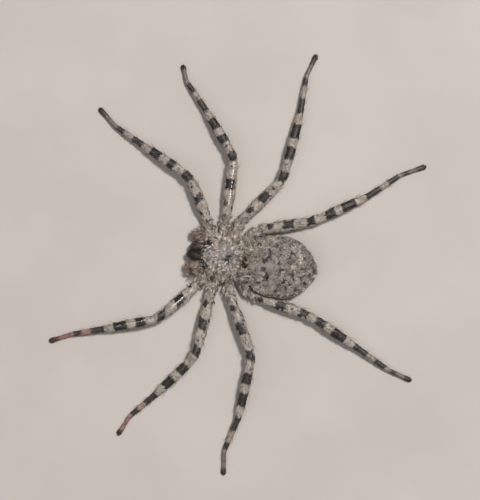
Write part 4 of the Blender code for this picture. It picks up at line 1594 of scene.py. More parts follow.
    @staticmethod
    def patches(middle: Array, faces: list[Array], steps: int) -> list[Array]:
        """Give each hair a patch of the map, at its clump's place on the surface's unwrap.

        Args:
            middle: That place, one row for each hair.
            faces: Quads and triangles of one hair.
            steps: Rings of a hair.

        Returns:
            A place for each corner of the quads and of the triangles.
        """
        level = np.concatenate([np.repeat(np.arange(steps), 3), [steps]]) / steps - 0.5
        lean = np.concatenate([np.tile([-0.4, 0.0, 0.4], steps), [0.0]])
        tilt = np.concatenate([np.tile([0.0, 0.22, 0.0], steps), [0.0]])
        own = PATCH_SIZE * np.stack([level + tilt, lean], axis=1)
        return [middle[:, None, None] + own[part] for part in faces]

    def finish(self, material: Material, slot: Region) -> None:
        """Make the piece."""
        self.stock.piece(self.name, [material], slot.value)


class Graph:
    """Adds nodes to a tree and links them, one call for each."""

    def __init__(self, tree: Tree) -> None:
        """Start on a tree."""
        self.tree = tree

    def node(self, kind: str, settings: Optional[dict[str, object]] = None, **inputs: Input) -> Node:
        """Add a node.

        Args:
            kind: The node's type name without its ShaderNode start.
            settings: Properties to set on it.
            inputs: Values or sockets for its inputs, by name with spaces as underscores.

        Returns:
            The node.
        """
        made = self.tree.nodes.new(f"ShaderNode{kind}")
        for key, value in (settings or {}).items():
            setattr(made, key, value)
        for key, value in inputs.items():
            self.feed(made.inputs[key.replace("_", " ")], value)
        return made

    def feed(self, socket: Socket, value: Input) -> None:
        """Link a socket to an input, or set its value.

        Args:
            socket: The input.
            value: What it takes.
        """
        if isinstance(value, Socket):
            self.tree.links.new(value, socket)
        else:
            socket.default_value = value

    def times(self, first: Input, second: Input) -> Socket:
        """Product of two values."""
        return self.math("MULTIPLY", first, second)

    def math(self, operation: str, first: Input, second: Input = 0.0) -> Socket:
        """Add one step of arithmetic.

        Args:
            operation: What it does.
            first: Its first value.
            second: Its second value.

        Returns:
            The result.
        """
        made = self.node("Math", {"operation": operation})
        self.feed(made.inputs[0], first)
        self.feed(made.inputs[1], second)
        return made.outputs[0]

    def step(self, value: Input, low: float, high: float, start: float = 0.0, end: float = 1.0) -> Socket:
        """Rise smoothly from start to end as a value goes from low to high.

        Args:
            value: The value.
            low: Where the rise starts.
            high: Where it ends.
            start: Result up to the start.
            end: Result from the end on.

        Returns:
            The result.
        """
        limits = {"From_Min": low, "From_Max": high, "To_Min": start, "To_Max": end}
        made = self.node("MapRange", {"interpolation_type": "SMOOTHSTEP"}, Value=value, **limits)
        return made.outputs["Result"]

    def mix(self, factor: Input, first: Input, second: Input, blend: str = "MIX") -> Socket:
        """Mix two colours.

        Args:
            factor: Share of the second.
            first: The first colour.
            second: The second colour.
            blend: How the second is laid on the first.

        Returns:
            The colour.
        """
        made = self.node("Mix", {"data_type": "RGBA", "blend_type": blend})
        for at, value in ((0, factor), (6, first), (7, second)):
            self.feed(made.inputs[at], value)
        return made.outputs[2]

    def noise(self, place: Input, scale: float, detail: float = 2.0, rough: float = 0.5) -> Socket:
        """Cloudy noise from 0 to 1."""
        made = self.node("TexNoise", None, Vector=place, Scale=scale, Detail=detail, Roughness=rough)
        return made.outputs[0]

    def patches(
        self, place: Input, scale: float, edges: Pair, first: Input, second: Input, detail: float = 2.0
    ) -> Socket:
        """Cloudy patches of a second colour, which starts and is full where noise reaches the edges."""
        return self.mix(self.step(self.noise(place, scale, detail), *edges), first, second)

    def frayed(self, mark: Input, noise: Socket, amount: float) -> Socket:
        """A mark's depth, made ragged by noise about its middle."""
        return self.math("ADD", mark, self.times(self.math("SUBTRACT", noise, 0.5), amount))

    def read(self, name: str, output: str = "Fac") -> Socket:
        """A mesh attribute."""
        return self.node("Attribute", {"attribute_name": name}).outputs[output]

    def millimetres(self) -> Socket:
        """Find the place on the object.

        Returns:
            It, in millimetres.
        """
        scaled = self.node("VectorMath", {"operation": "SCALE"}, Scale=1.0 / MM)
        self.feed(scaled.inputs[0], self.node("TexCoord").outputs["Object"])
        return scaled.outputs[0]


GroupParts = tuple[Tree, Graph, Node, Node]


def new_group(name: str, inputs: dict[str, str], outputs: dict[str, str]) -> GroupParts:
    """Start a shader node group.

    Args:
        name: The group's name.
        inputs: Input names with their kinds of socket.
        outputs: Output names with their kinds of socket.

    Returns:
        The group, its graph, its input node and its output node.
    """
    tree = bpy.data.node_groups.new(name, "ShaderNodeTree")
    for names, way in ((inputs, "INPUT"), (outputs, "OUTPUT")):
        for key, kind in names.items():
            tree.interface.new_socket(name=key, in_out=way, socket_type=f"NodeSocket{kind}")
    return tree, Graph(tree), tree.nodes.new("NodeGroupInput"), tree.nodes.new("NodeGroupOutput")


def new_material(name: str, roughness: float) -> tuple[Material, Graph, Node]:
    """Start a material.

    Args:
        name: Its name.
        roughness: How matte it is.

    Returns:
        The material, its graph and its shader.
    """
    material = bpy.data.materials.new(name)
    material.use_nodes = True
    shader = material.node_tree.nodes["Principled BSDF"]
    shader.inputs["Roughness"].default_value = roughness
    return material, Graph(material.node_tree), shader


@dataclass(frozen=True)
class Markings:
    """What a region's skin and coat both show, from the mesh's own traits."""

    @property
    def name(self) -> str:
        """The group's name."""
        return type(self).__name__

    def blend(self, g: Graph, place: Socket, traits: dict[str, Socket]) -> Socket:
        """The colour at each place."""
        raise NotImplementedError

    def group(self) -> Tree:
        """Build the node group that puts the colour out.

        Returns:
            The group.
        """
        inputs = {"Place": "Vector", **{key: "Float" for key in TRAIT_NAMES}}
        tree, g, start, end = new_group(self.name, inputs, {"Colour": "Color"})
        traits = {key: start.outputs[key] for key in TRAIT_NAMES}
        g.feed(end.inputs["Colour"], self.blend(g, start.outputs["Place"], traits))
        return tree


@dataclass(frozen=True)
class LegMarkings(Markings):
    """Pale legs with near-black bands, browner toward the tips and woolly grey at the base."""

    pale: Colour = linear(206, 196, 186)
    pale_warm: Colour = linear(180, 165, 152)
    fleck: Colour = linear(104, 90, 80)
    black: Colour = linear(36, 30, 26)
    black_warm: Colour = linear(58, 46, 40)
    shin: Colour = linear(184, 169, 156)
    foot: Colour = linear(138, 122, 109)
    shin_red: Colour = linear(190, 154, 141)
    foot_red: Colour = linear(172, 127, 115)
    base: Colour = linear(222, 213, 202)
    base_dark: Colour = linear(138, 126, 115)

    def blend(self, g: Graph, place: Socket, traits: dict[str, Socket]) -> Socket:
        """Specks on pale, the browner lower leg and the wool, under the bands and spots.

        Args:
            g: The group's graph.
            place: Where each point is, in millimetres.
            traits: Sockets of the traits.

        Returns:
            The colour.
        """
        tone, warm = traits["tone"], traits["warm"]
        soft = g.math("SUBTRACT", 1.0, g.times(tone, 0.68))
        ragged = g.frayed(traits["mark"], g.noise(place, 4.6, 3.0, 0.65), 0.78)
        dark = g.step(g.times(ragged, soft), -0.06, 0.08)
        pale = g.patches(place, 2.2, (0.38, 0.62), self.pale, self.pale_warm)
        speck = g.step(g.noise(place, 5.0, 3.0, 0.7), 0.53, 0.63, 0.0, 0.85)
        pale = g.mix(speck, pale, self.fleck)
        shin = g.mix(warm, self.shin, self.shin_red)
        foot = g.mix(warm, self.foot, self.foot_red)
        lower = g.mix(g.step(tone, SHIN_TONE, 1.0), shin, foot)
        lower = g.mix(g.step(g.noise(place, 4.0, 3.0, 0.7), 0.47, 0.65, 0.0, 0.7), lower, self.black_warm)
        pale = g.mix(g.step(tone, 0.0, SHIN_TONE), pale, lower)
        wool = g.patches(place, 3.4, (0.42, 0.60), self.base, self.base_dark)
        pale = g.mix(g.times(traits["bloom"], 0.9), pale, wool)
        black = g.patches(place, 3.0, (0.40, 0.68), self.black, self.black_warm)
        black = g.mix(g.step(tone, 0.2, 0.9, 0.0, 0.12), black, foot)
        return g.mix(dark, pale, black)


@dataclass(frozen=True)
class ShieldMarkings(Markings):
    """Lilac-grey shield, greener and browner at its edge, dark at the eyes, groove and stalk."""

    lilac: Colour = linear(186, 174, 168)
    light: Colour = linear(216, 205, 198)
    edge: Colour = linear(222, 212, 199)
    edge_dark: Colour = linear(142, 129, 116)
    dark: Colour = linear(46, 40, 38)
    russet: Colour = linear(80, 52, 39)

    def blend(self, g: Graph, place: Socket, traits: dict[str, Socket]) -> Socket:
        """Two greys in the middle, two at the edge, russet at the stalk, under the dark marks.

        Args:
            g: The group's graph.
            place: Where each point is, in millimetres.
            traits: Sockets of the traits.

        Returns:
            The colour.
        """
        dark = g.step(g.frayed(traits["mark"], g.noise(place, 8.0), 0.14), -0.03, 0.04)
        middle = g.patches(place, 3.6, (0.40, 0.62), self.lilac, self.light)
        edge = g.patches(place, 3.0, (0.42, 0.60), self.edge, self.edge_dark)
        ground = g.mix(traits["tone"], middle, edge)
        stalk = g.times(traits["bloom"], g.step(g.noise(place, 4.5), 0.36, 0.58))
        return g.mix(dark, g.mix(stalk, ground, self.russet), self.dark)


@dataclass(frozen=True)
class AbdomenMarkings(Markings):
    """Grey-olive abdomen with dark dots and marks, a greener middle band and a purple-grey rim."""

    olive: Colour = linear(156, 146, 134)
    sand: Colour = linear(210, 199, 187)
    green: Colour = linear(172, 165, 153)
    mauve: Colour = linear(154, 140, 136)
    rim: Colour = linear(136, 122, 118)
    rim_light: Colour = linear(192, 180, 174)
    dot: Colour = linear(56, 48, 41)
    dark: Colour = linear(48, 40, 34)
    russet: Colour = linear(86, 60, 46)

    def blend(self, g: Graph, place: Socket, traits: dict[str, Socket]) -> Socket:
        """Olive, sand and mauve clouds, band, rim and stalk, under specks, dots and marks.

        Args:
            g: The group's graph.
            place: Where each point is, in millimetres.
            traits: Sockets of the traits.

        Returns:
            The colour.
        """
        bloom = traits["bloom"]
        dark = g.step(g.frayed(traits["mark"], g.noise(place, 5.5, 3.0, 0.6), 0.56), -0.06, 0.10)
        cell = g.node("TexVoronoi", None, Vector=place, Scale=2.5)
        draw = g.node("SeparateColor", None, Color=cell.outputs["Color"]).outputs[0]
        near = g.math("SUBTRACT", g.times(draw, 0.39), cell.outputs["Distance"])
        off_band = g.step(bloom, 0.5, 0.1)
        dots = g.times(g.step(near, -0.06, 0.08), off_band)
        ground = g.patches(place, 1.5, (0.36, 0.66), self.olive, self.sand, 3.0)
        ground = g.patches(place, 0.8, (0.50, 0.68), ground, self.mauve)
        ground = g.mix(g.step(bloom, 0.05, 0.6), ground, self.green)
        rim = g.patches(place, 3.2, (0.42, 0.60), self.rim, self.rim_light)
        ground = g.mix(g.times(traits["tone"], 0.85), ground, rim)
        ground = g.mix(g.step(bloom, -0.15, -0.75), ground, self.russet)
        speck = g.step(g.noise(place, 4.2, 2.0, 0.6), 0.575, 0.65, 0.0, 0.85)
        ground = g.mix(g.times(speck, off_band), ground, self.dot)
        ground = g.mix(g.times(dots, 0.85), ground, self.dot)
        return g.mix(dark, ground, self.dark)


@dataclass(frozen=True)
class PalpMarkings(Markings):
    """Brown-grey palps with reddish-brown blotches, and dusky jaws."""

    pale: Colour = linear(216, 202, 190)
    brown: Colour = linear(160, 141, 127)
    russet: Colour = linear(128, 106, 91)
    dusk: Colour = linear(57, 48, 44)

    def blend(self, g: Graph, place: Socket, traits: dict[str, Socket]) -> Socket:
        """Pale and brown clouds, browner toward the tip, under the blotches.

        Args:
            g: The group's graph.
            place: Where each point is, in millimetres.
            traits: Sockets of the traits.

        Returns:
            The colour.
        """
        blotch = g.step(g.frayed(traits["mark"], g.noise(place, 5.0), 0.5), -0.06, 0.10)
        ground = g.patches(place, 2.8, (0.40, 0.62), self.pale, self.brown)
        ground = g.mix(g.times(traits["tone"], 0.4), ground, self.brown)
        return g.mix(traits["bloom"], g.mix(blotch, ground, self.russet), self.dusk)


@dataclass(frozen=True)
class Wear:
    """How a region's skin and coat wear its markings.

    Attributes:
        markings: What both show.
        skin: Share of the colour that the skin keeps, a painted shade that darkens it under the hair.
        coat: Share of the colour that the coat has.
        contrast: How far hairs differ in lightness.
    """

    markings: Markings
    skin: float
    coat: float
    contrast: float


# The skin's share is painted shade under the hair; the coat's share scales the hair's lightness
WEAR: dict[Region, Wear] = {
    Region.SHIELD: Wear(ShieldMarkings(), 0.34, 1.10, 0.26),
    Region.ABDOMEN: Wear(AbdomenMarkings(), 0.56, 1.07, 0.38),
    Region.LEG: Wear(LegMarkings(), 0.80, 1.00, 0.17),
    Region.PALP: Wear(PalpMarkings(), 0.34, 1.10, 0.24),
}


@dataclass(frozen=True)
class Shell:
    """A hard shell with soft patches of two browns and fine wrinkles from a noise bump."""

    name: str
    colour: Colour
    warm: Colour
    roughness: float
    patch_scale: float

    def material(self) -> Material:
        """Build the finish.

        Returns:
            Its material.
        """
        material, g, shader = new_material(self.name, self.roughness)
        place = g.millimetres()
        colour = g.patches(place, self.patch_scale, (0.38, 0.66), self.colour, self.warm, 3.0)
        g.feed(shader.inputs["Base Color"], colour)
        fine = g.noise(place, 16.0, 3.0, 0.7)
        roughness = g.step(fine, 0.3, 0.7, self.roughness - 0.05, self.roughness + 0.12)
        g.feed(shader.inputs["Roughness"], roughness)
        bump = g.node("Bump", None, Height=fine, Strength=0.25, Distance=0.02 * MM)
        g.feed(shader.inputs["Normal"], bump.outputs["Normal"])
        shader.inputs["Specular IOR Level"].default_value = 0.35
        return material


JAW_SHELLS: dict[Side, Shell] = {
    Side.LEFT: Shell("jaw_shell_olive", linear(47, 42, 35), linear(63, 54, 46), 0.56, 1.1),
    Side.RIGHT: Shell("jaw_shell_brown", linear(78, 62, 58), linear(102, 83, 78), 0.56, 1.1),
}
FANG_SHELL = Shell("fang_shell", linear(24, 16, 14), linear(52, 26, 18), 0.20, 4.0)
BRISTLE_SHELL = Shell("bristle_shell", linear(58, 46, 40), linear(84, 68, 58), 0.40, 5.0)


@dataclass
class Finishes:
    """Materials of skin and coat, which read the same marking groups, and of the eyes."""

    hair_bump: float = 0.03
    gleam_wave: float = 0.14
    gleam_depth: float = 0.008
    gleam_stray: float = 6.0
    groups: dict[Region, Tree] = field(init=False)
    pores: Tree = field(init=False)

    def __post_init__(self) -> None:
        """Build each group once."""
        self.groups = {region: wear.markings.group() for region, wear in WEAR.items()}
        self.pores = self.pore_group()

    @staticmethod
    def pore_group() -> Tree:
        """Build the group for the short lying hair and the pores between, from the skin's own grain.

        Returns:
            The group, which puts out their height.
        """
        tree, g, start, end = new_group("short_hair", {"Grain": "Vector"}, {"Height": "Float"})
        grain = start.outputs["Grain"]
        cell = g.node("TexVoronoi", None, Vector=grain, Scale=9.0)
        deep = g.times(cell.outputs["Distance"], 0.45)
        g.feed(end.inputs["Height"], g.math("ADD", g.noise(grain, 14.0, 3.0, 0.65), deep))
        return tree

    def marked(self, g: Graph, region: Region, place: Socket) -> Socket:
        """A region's colour, from its marking group fed by the mesh."""
        traits = {key: g.read(key) for key in TRAIT_NAMES}
        return g.node("Group", {"node_tree": self.groups[region]}, Place=place, **traits).outputs["Colour"]

    def skin(self, region: Region) -> Material:
        """Finish the skin under the coat: the markings, darkened as painted shade under the hair and less so
        where it is bare, with fine bump, glossy where it is bare.

        Args:
            region: The part of the skin.

        Returns:
            Its material.
        """
        material, g, shader = new_material(f"{region.name.lower()}_skin", 0.55)
        marked = self.marked(g, region, g.millimetres())
        share = WEAR[region].skin
        bare = g.read("shine")
        # Painted shade: the skin is darkened by its region's share, a little less where it is bare
        colour = g.mix(1.0, marked, (share, share, share, 1.0), "MULTIPLY")
        g.feed(shader.inputs["Base Color"], g.mix(g.times(bare, 0.35), colour, marked))
        g.feed(shader.inputs["Roughness"], g.step(bare, 0.0, 0.6, 0.56, 0.14))
        grain = g.read("grain", "Vector")
        pores = g.node("Group", {"node_tree": self.pores}, Grain=grain)
        bump = g.node("Bump", None, Height=pores.outputs["Height"], Distance=self.hair_bump * MM,
                      Strength=g.step(bare, 0.1, 0.7, 0.55, 0.06))
        along = g.node("SeparateXYZ", None, Vector=grain).outputs["Z"]
        turn = g.times(along, FULL_TURN / (GRAIN_ALONG * self.gleam_wave))
        wave = g.math("SINE", g.math("ADD", turn, g.times(g.noise(along, 12.0), self.gleam_stray)))
        shimmer = g.node("Bump", None, Height=wave, Distance=self.gleam_depth * MM,
                         Strength=bare, Normal=bump.outputs["Normal"])
        g.feed(shader.inputs["Normal"], shimmer.outputs["Normal"])
        shader.inputs["Specular IOR Level"].default_value = 0.8
        return material

    def coat(self, region: Region) -> Material:
        """Finish the hair: the markings at its root, darker low down as painted shade, and varied from hair
        to hair.

        Args:
            region: The part of the skin that it grows on.

        Returns:
            Its material.
        """
        material, g, shader = new_material(f"{region.name.lower()}_coat", 0.62)
        wear = WEAR[region]
        varied = g.times(g.read("shade"), wear.contrast)
        # Painted shade: each hair darkens toward its root, from 1.12 down to 0.60 of the coat's share
        varied = g.math("ADD", g.step(g.read("along"), 0.0, 0.6, 0.60 * wear.coat, 1.12 * wear.coat), varied)
        varied = g.math("MAXIMUM", varied, 0.15)
        tint = g.node("CombineColor", None, Red=varied, Green=varied, Blue=varied).outputs[0]
        marked = self.marked(g, region, g.read("root_at", "Vector"))
        g.feed(shader.inputs["Base Color"], g.mix(1.0, marked, tint, "MULTIPLY"))
        shader.inputs["Specular IOR Level"].default_value = 0.16
        return material

    @staticmethod
    def lens() -> Material:
        """Finish the eyes, wet and black with a faint brown depth.

        Returns:
            Their material.
        """
        material, g, shader = new_material("eye_lens", 0.06)
        colour = g.patches(g.millimetres(), 6.0, (0.35, 0.70), linear(14, 12, 13), linear(40, 28, 24))
        g.feed(shader.inputs["Base Color"], colour)
        shader.inputs["Coat Weight"].default_value = 1.0
        shader.inputs["Coat Roughness"].default_value = 0.03
        return material


# Height of each leg's strip on the skin's unwrap
LEG_STRIP = 0.106


@dataclass
class Body:
    """All of the animal's surfaces, and the one skin that they make."""

    shield: Shield = field(default_factory=Shield)
    legs: dict[str, Leg] = field(init=False)
    prosoma: Prosoma = field(init=False)
    abdomen: Abdomen = field(init=False)
    palps: dict[Side, Palp] = field(init=False)
    jaws: dict[Side, Jaw] = field(init=False)
    lobes: list[Lobe] = field(init=False)

    def __post_init__(self) -> None:
        """Work out every surface."""
        self.legs = {
            name: Leg(
                rows=190, cols=22, chart=(0.012, 0.006 + LEG_STRIP * row, 0.670, LEG_STRIP - 0.010),
                region=Region.LEG, corners=plan.corners(), plan=plan,
            )
            for row, (name, plan) in enumerate(LEG_PLANS.items())
        }
        self.prosoma = Prosoma(
            rows=96, cols=120, chart=(0.715, 0.52, 0.27, 0.30), region=Region.SHIELD, shield=self.shield
        )
        self.abdomen = Abdomen(rows=130, cols=128, chart=(0.715, 0.01, 0.27, 0.49), region=Region.ABDOMEN)
        self.palps = {
            side: Palp(
                rows=40, cols=20, chart=(0.012 + 0.173 * at, 0.87, 0.15, 0.05), region=Region.PALP,
                corners=beside(self.shield.x, side, PALP_ROUTES[side]), side=side,
            )
            for at, side in enumerate(Side)
        }
        self.jaws = {
            side: Jaw(
                rows=44, cols=32, chart=WHOLE_MAP, region=Region.PALP,
                corners=beside(self.shield.x, side, JAW_ROUTES[side]), side=side,
            )
            for side in Side
        }
        self.lobes = self.underparts()

    def underparts(self) -> list[Lobe]:
        """Place the mouth plates under the head and the spinnerets under the tail.

        Returns:
            Their surfaces.
        """
        axes = {Region.SHIELD: self.shield.x, Region.ABDOMEN: self.abdomen.x}
        forms = [(Region.SHIELD, Side.LEFT, ((0.0, -3.05, 0.66), (0.0, -3.62, 0.70)), (0.20, 0.14), 0.2)]
        for side in Side:
            forms += [
                (Region.SHIELD, side, ((0.42, -2.95, 0.72), (0.26, -3.82, 0.70)), (0.21, 0.19), 0.1),
                (Region.ABDOMEN, side, ((0.16, 5.95, 0.62), (0.22, 6.84, 0.80)), (0.15, 0.15), 0.25),
                (Region.ABDOMEN, side, ((0.14, 5.90, 0.48), (0.18, 6.68, 0.53)), (0.13, 0.13), 0.25),
            ]
        forms.append((Region.ABDOMEN, Side.LEFT, ((0.0, 6.20, 1.08), (0.0, 6.86, 1.10)), (0.17, 0.12), 0.3))
        return [
            Lobe(
                rows=16, cols=14, chart=(0.36 + 0.042 * at, 0.88, 0.034, 0.05), region=region,
                corners=beside(axes[region], side, corners), radii=radii, taper=taper,
            )
            for at, (region, side, corners, radii, taper) in enumerate(forms)
        ]

    def surfaces(self) -> list[Surface]:
        """Every surface of the skin."""
        return [self.prosoma, self.abdomen, *self.legs.values(), *self.palps.values(), *self.lobes]

    def make_skin(self, finishes: Finishes) -> None:
        """Make one skin over the whole animal, which stands for every node of flesh.

        Args:
            finishes: The materials.
        """
        stock = Stock()
        order = list(Region)
        for surface in self.surfaces():
            surface.add_to(stock, order.index(surface.region))
        skin = stock.piece("skin", [finishes.skin(region) for region in order], Region.LEG.value)
        lengths = [f"leg_{leg}_{part}" for leg in self.legs for part in ("femur", "tibia", "tarsus")]
        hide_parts("prosoma", "abdomen", "spinnerets", "palp_l", "palp_r", *lengths)


@dataclass
class Fur:
    """The coat of the whole animal, in pieces by region."""

    body: Body
    finishes: Finishes
    # Clumps, strands, length, girth, spread, lift, curl, stray and fan, then gather, rings and tint
    ringlets: Recipe = Recipe(25.0, 9, (0.3, 0.48), 0.046, 0.038, (34.0, -12.0), 78.0, 30.0, 8.0, 0.5, 4)
    wool: Recipe = Recipe(20.0, 9, (0.34, 0.58), 0.048, 0.044, (44.0, -12.0), 70.0, 38.0, 8.0, 0.5, 4)
    mane: Recipe = Recipe(22.0, 8, (0.44, 0.74), 0.046, 0.042, (26.0, -8.0), 55.0, 28.0, 8.0, 0.5, 4)
    brow: Recipe = Recipe(44.0, 6, (0.24, 0.42), 0.038, 0.034, (30.0, -26.0), 40.0, 16.0, 9.0, 0.4, 4)
    stubble: Recipe = Recipe(44.0, 2, (0.14, 0.24), 0.026, 0.03, (36.0, 10.0), 15.0, 16.0, 12.0, 0.0, 3, -0.4)
    palp_wool: Recipe = Recipe(34.0, 8, (0.30, 0.54), 0.042, 0.042, (56.0, 6.0), 60.0, 34.0, 10.0, 0.45, 4)
    palp_brush: Recipe = Recipe(34.0, 8, (0.50, 0.80), 0.042, 0.044, (66.0, 40.0), 50.0, 34.0, 10.0, 0.35, 4)
    fell: Recipe = Recipe(34.0, 3, (0.13, 0.23), 0.030, 0.03, (26.0, 2.0), 20.0, 14.0, 9.0, 0.3)
    fringe: Recipe = Recipe(10.0, 1, (0.22, 0.42), 0.022, 0.0, (60.0, 30.0), 14.0, 18.0, 0.0)
    sole: Recipe = Recipe(90.0, 4, (0.09, 0.16), 0.026, 0.02, (40.0, 20.0), 10.0, 16.0, 12.0, 0.0, 2, -0.8)
    curls: Recipe = Recipe(46.0, 5, (0.20, 0.38), 0.038, 0.026, (34.0, -10.0), 95.0, 60.0, 8.0, 0.5, 3, 0.2)
    locks: Recipe = Recipe(16.0, 7, (0.26, 0.42), 0.036, 0.036, (30.0, 2.0), 22.0, 12.0, 9.0, 0.4, 4, 0.4)

    def shield(self) -> None:
        """Curled locks that spread from the groove, an apron over the rim and short hair on the brow."""
        coat = Coat("coat_shield", 11)
        prosoma = self.body.prosoma
        coat.grow(prosoma, self.ringlets, prosoma.in_middle, prosoma.hair_size)
        coat.grow(prosoma, self.wool, prosoma.at_side, prosoma.hair_size)
        coat.grow(prosoma, self.mane, prosoma.on_rim)
        coat.grow(prosoma, self.brow, prosoma.on_brow)
        coat.grow(prosoma, self.fell, prosoma.beneath)
        self.cover(coat, Region.SHIELD, self.mane)

    def cover(self, coat: Coat, region: Region, recipe: Recipe) -> None:
        """Grow hair on a region's lobes too, and make its piece.

        Args:
            coat: The piece.
            region: The region.
            recipe: How hair grows on the lobes.
        """
        for lobe in self.body.lobes:
            if lobe.region is region:
                coat.grow(lobe, recipe)
        coat.finish(self.finishes.coat(region), region)

    def legs(self) -> None:
        """For each leg: wool at its base, short lying hair, a thin fringe and a tuft at its tip."""
        material = self.finishes.coat(Region.LEG)
        for seed, (name, leg) in enumerate(self.body.legs.items()):
            coat = Coat(f"coat_leg_{name}", 20 + seed)
            coat.grow(leg, self.wool, leg.woolly)
            coat.grow(leg, self.fell, leg.short_haired, leg.hair_size)
            coat.grow(leg, self.fringe, leg.fringed, leg.hair_size)
            coat.grow(leg, self.sole, leg.at_tip)
            coat.finish(material, Region.LEG)

    def abdomen(self) -> None:
        """A mane over the stalk, curls that are thinner on the middle band, and locks round the tail."""
        coat = Coat("coat_abdomen", 31)
        abdomen = self.body.abdomen
        coat.grow(abdomen, self.mane, abdomen.in_front)
        coat.grow(abdomen, self.curls, abdomen.curly, abdomen.hair_size)
        coat.grow(abdomen, self.locks, abdomen.round_tail)
        self.cover(coat, Region.ABDOMEN, self.fell)

    def mouthparts(self) -> None:
        """Shaggy hair on both palps and short dusky hair on both jaws."""
        material = self.finishes.coat(Region.PALP)
        coat, beard = Coat("coat_palps", 41), Coat("coat_jaws", 42)
        for chart, side in zip(HALF_MAPS, Side):
            palp, jaw = self.body.palps[side], self.body.jaws[side]
            coat.grow(palp, self.palp_wool, chart=chart)
            coat.grow(palp, self.palp_brush, palp.inward, chart=chart)
            coat.grow(palp, self.fringe, chart=chart)
            beard.grow(jaw, self.stubble, chart=chart)
            beard.grow(jaw, self.stubble, jaw.inward, chart=chart)
        for piece in (coat, beard):
            piece.finish(material, Region.PALP)

    def grow(self) -> None:
        """Every piece of the coat."""
        self.shield()
        self.legs()
        self.abdomen()
        self.mouthparts()


@dataclass
class Eyes:
    """Eight eyes as smooth balls in the places of the solids' eyes."""

    shield: Shield
    rings: int = 20
    sides: int = 28

    def make(self, lens: Material) -> None:
        """Make each eye: centre + radius * (sin(down) cos(turn), sin(down) sin(turn), cos(down)).

        Args:
            lens: Their finish.
        """
        down = np.linspace(0.04, math.pi - 0.04, self.rings)[:, None]
        turn = np.arange(self.sides) * FULL_TURN / self.sides
        high, wide = np.cos(down) * np.ones(self.sides), np.sin(down)
        sphere = np.stack([wide * np.cos(turn), wide * np.sin(turn), high], axis=2)
        for name, x, y, radius in self.shield.eye_places:
            for side in Side:
                centre, _ = self.shield.eye(side, x, y, radius)
                stock = Stock()
                stock.add_tube(centre + radius * sphere)
                eye = stock.piece(f"lens_{name}_{side.letter}", [lens], "eye")
                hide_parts(f"eye_{name}_{side.letter}")


def horn(centre: Array, side: Array, rise: Array, radii: Array, sides: int) -> Array:
    """Rings of a tapered horn.

    Args:
        centre: Its centre line.
        side: Way across at each point of it.
        rise: Way up at each point of it.
        radii: Its radius at each point of it.
        sides: Points in each ring.

    Returns:
        Points as (ring, side, xyz): centre + side * r * cos + rise * r * sin.
    """
    turn = np.arange(sides) * FULL_TURN / sides
    across, above = radii[:, None] * np.cos(turn), radii[:, None] * np.sin(turn)
    return around(centre[:, None], side[:, None], rise[:, None], across, above)


@dataclass
class Jaws:
    """Both jaws with their fangs, hard shells, the fangs glossy."""

    body: Body
    fang: Corners = ((0.00, 0.06, 0.44), (-0.12, 0.12, 0.30), (-0.24, 0.26, 0.30))
    fang_radius: float = 0.09
    fang_rings: int = 16
    fang_sides: int = 12

    def make(self, dark: Material) -> None:
        """Make the jaws and fangs on both sides.

        Args:
            dark: The fangs' finish.
        """
        radii = self.fang_radius * (1.0 - np.linspace(0.0, 0.94, self.fang_rings) ** 1.2)
        for side, jaw in self.body.jaws.items():
            stock = Stock()
            jaw.add_to(stock, 0)
            piece = stock.piece(f"jaw_{side.letter}", [JAW_SHELLS[side].material()], "jaw")
            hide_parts(f"chelicera_{side.letter}")
            tip_x, tip_y, _ = jaw.corners[-1]
            route = Route(beside(tip_x, side, tuple((x, tip_y + y, z) for x, y, z in self.fang)))
            centre, _, across, rise = route.axes(np.linspace(0.0, route.length, self.fang_rings))
            fang = Stock()
            fang.add_tube(horn(centre, across, rise, radii, self.fang_sides))
            fang.piece(f"fang_{side.letter}", [dark], "jaw")


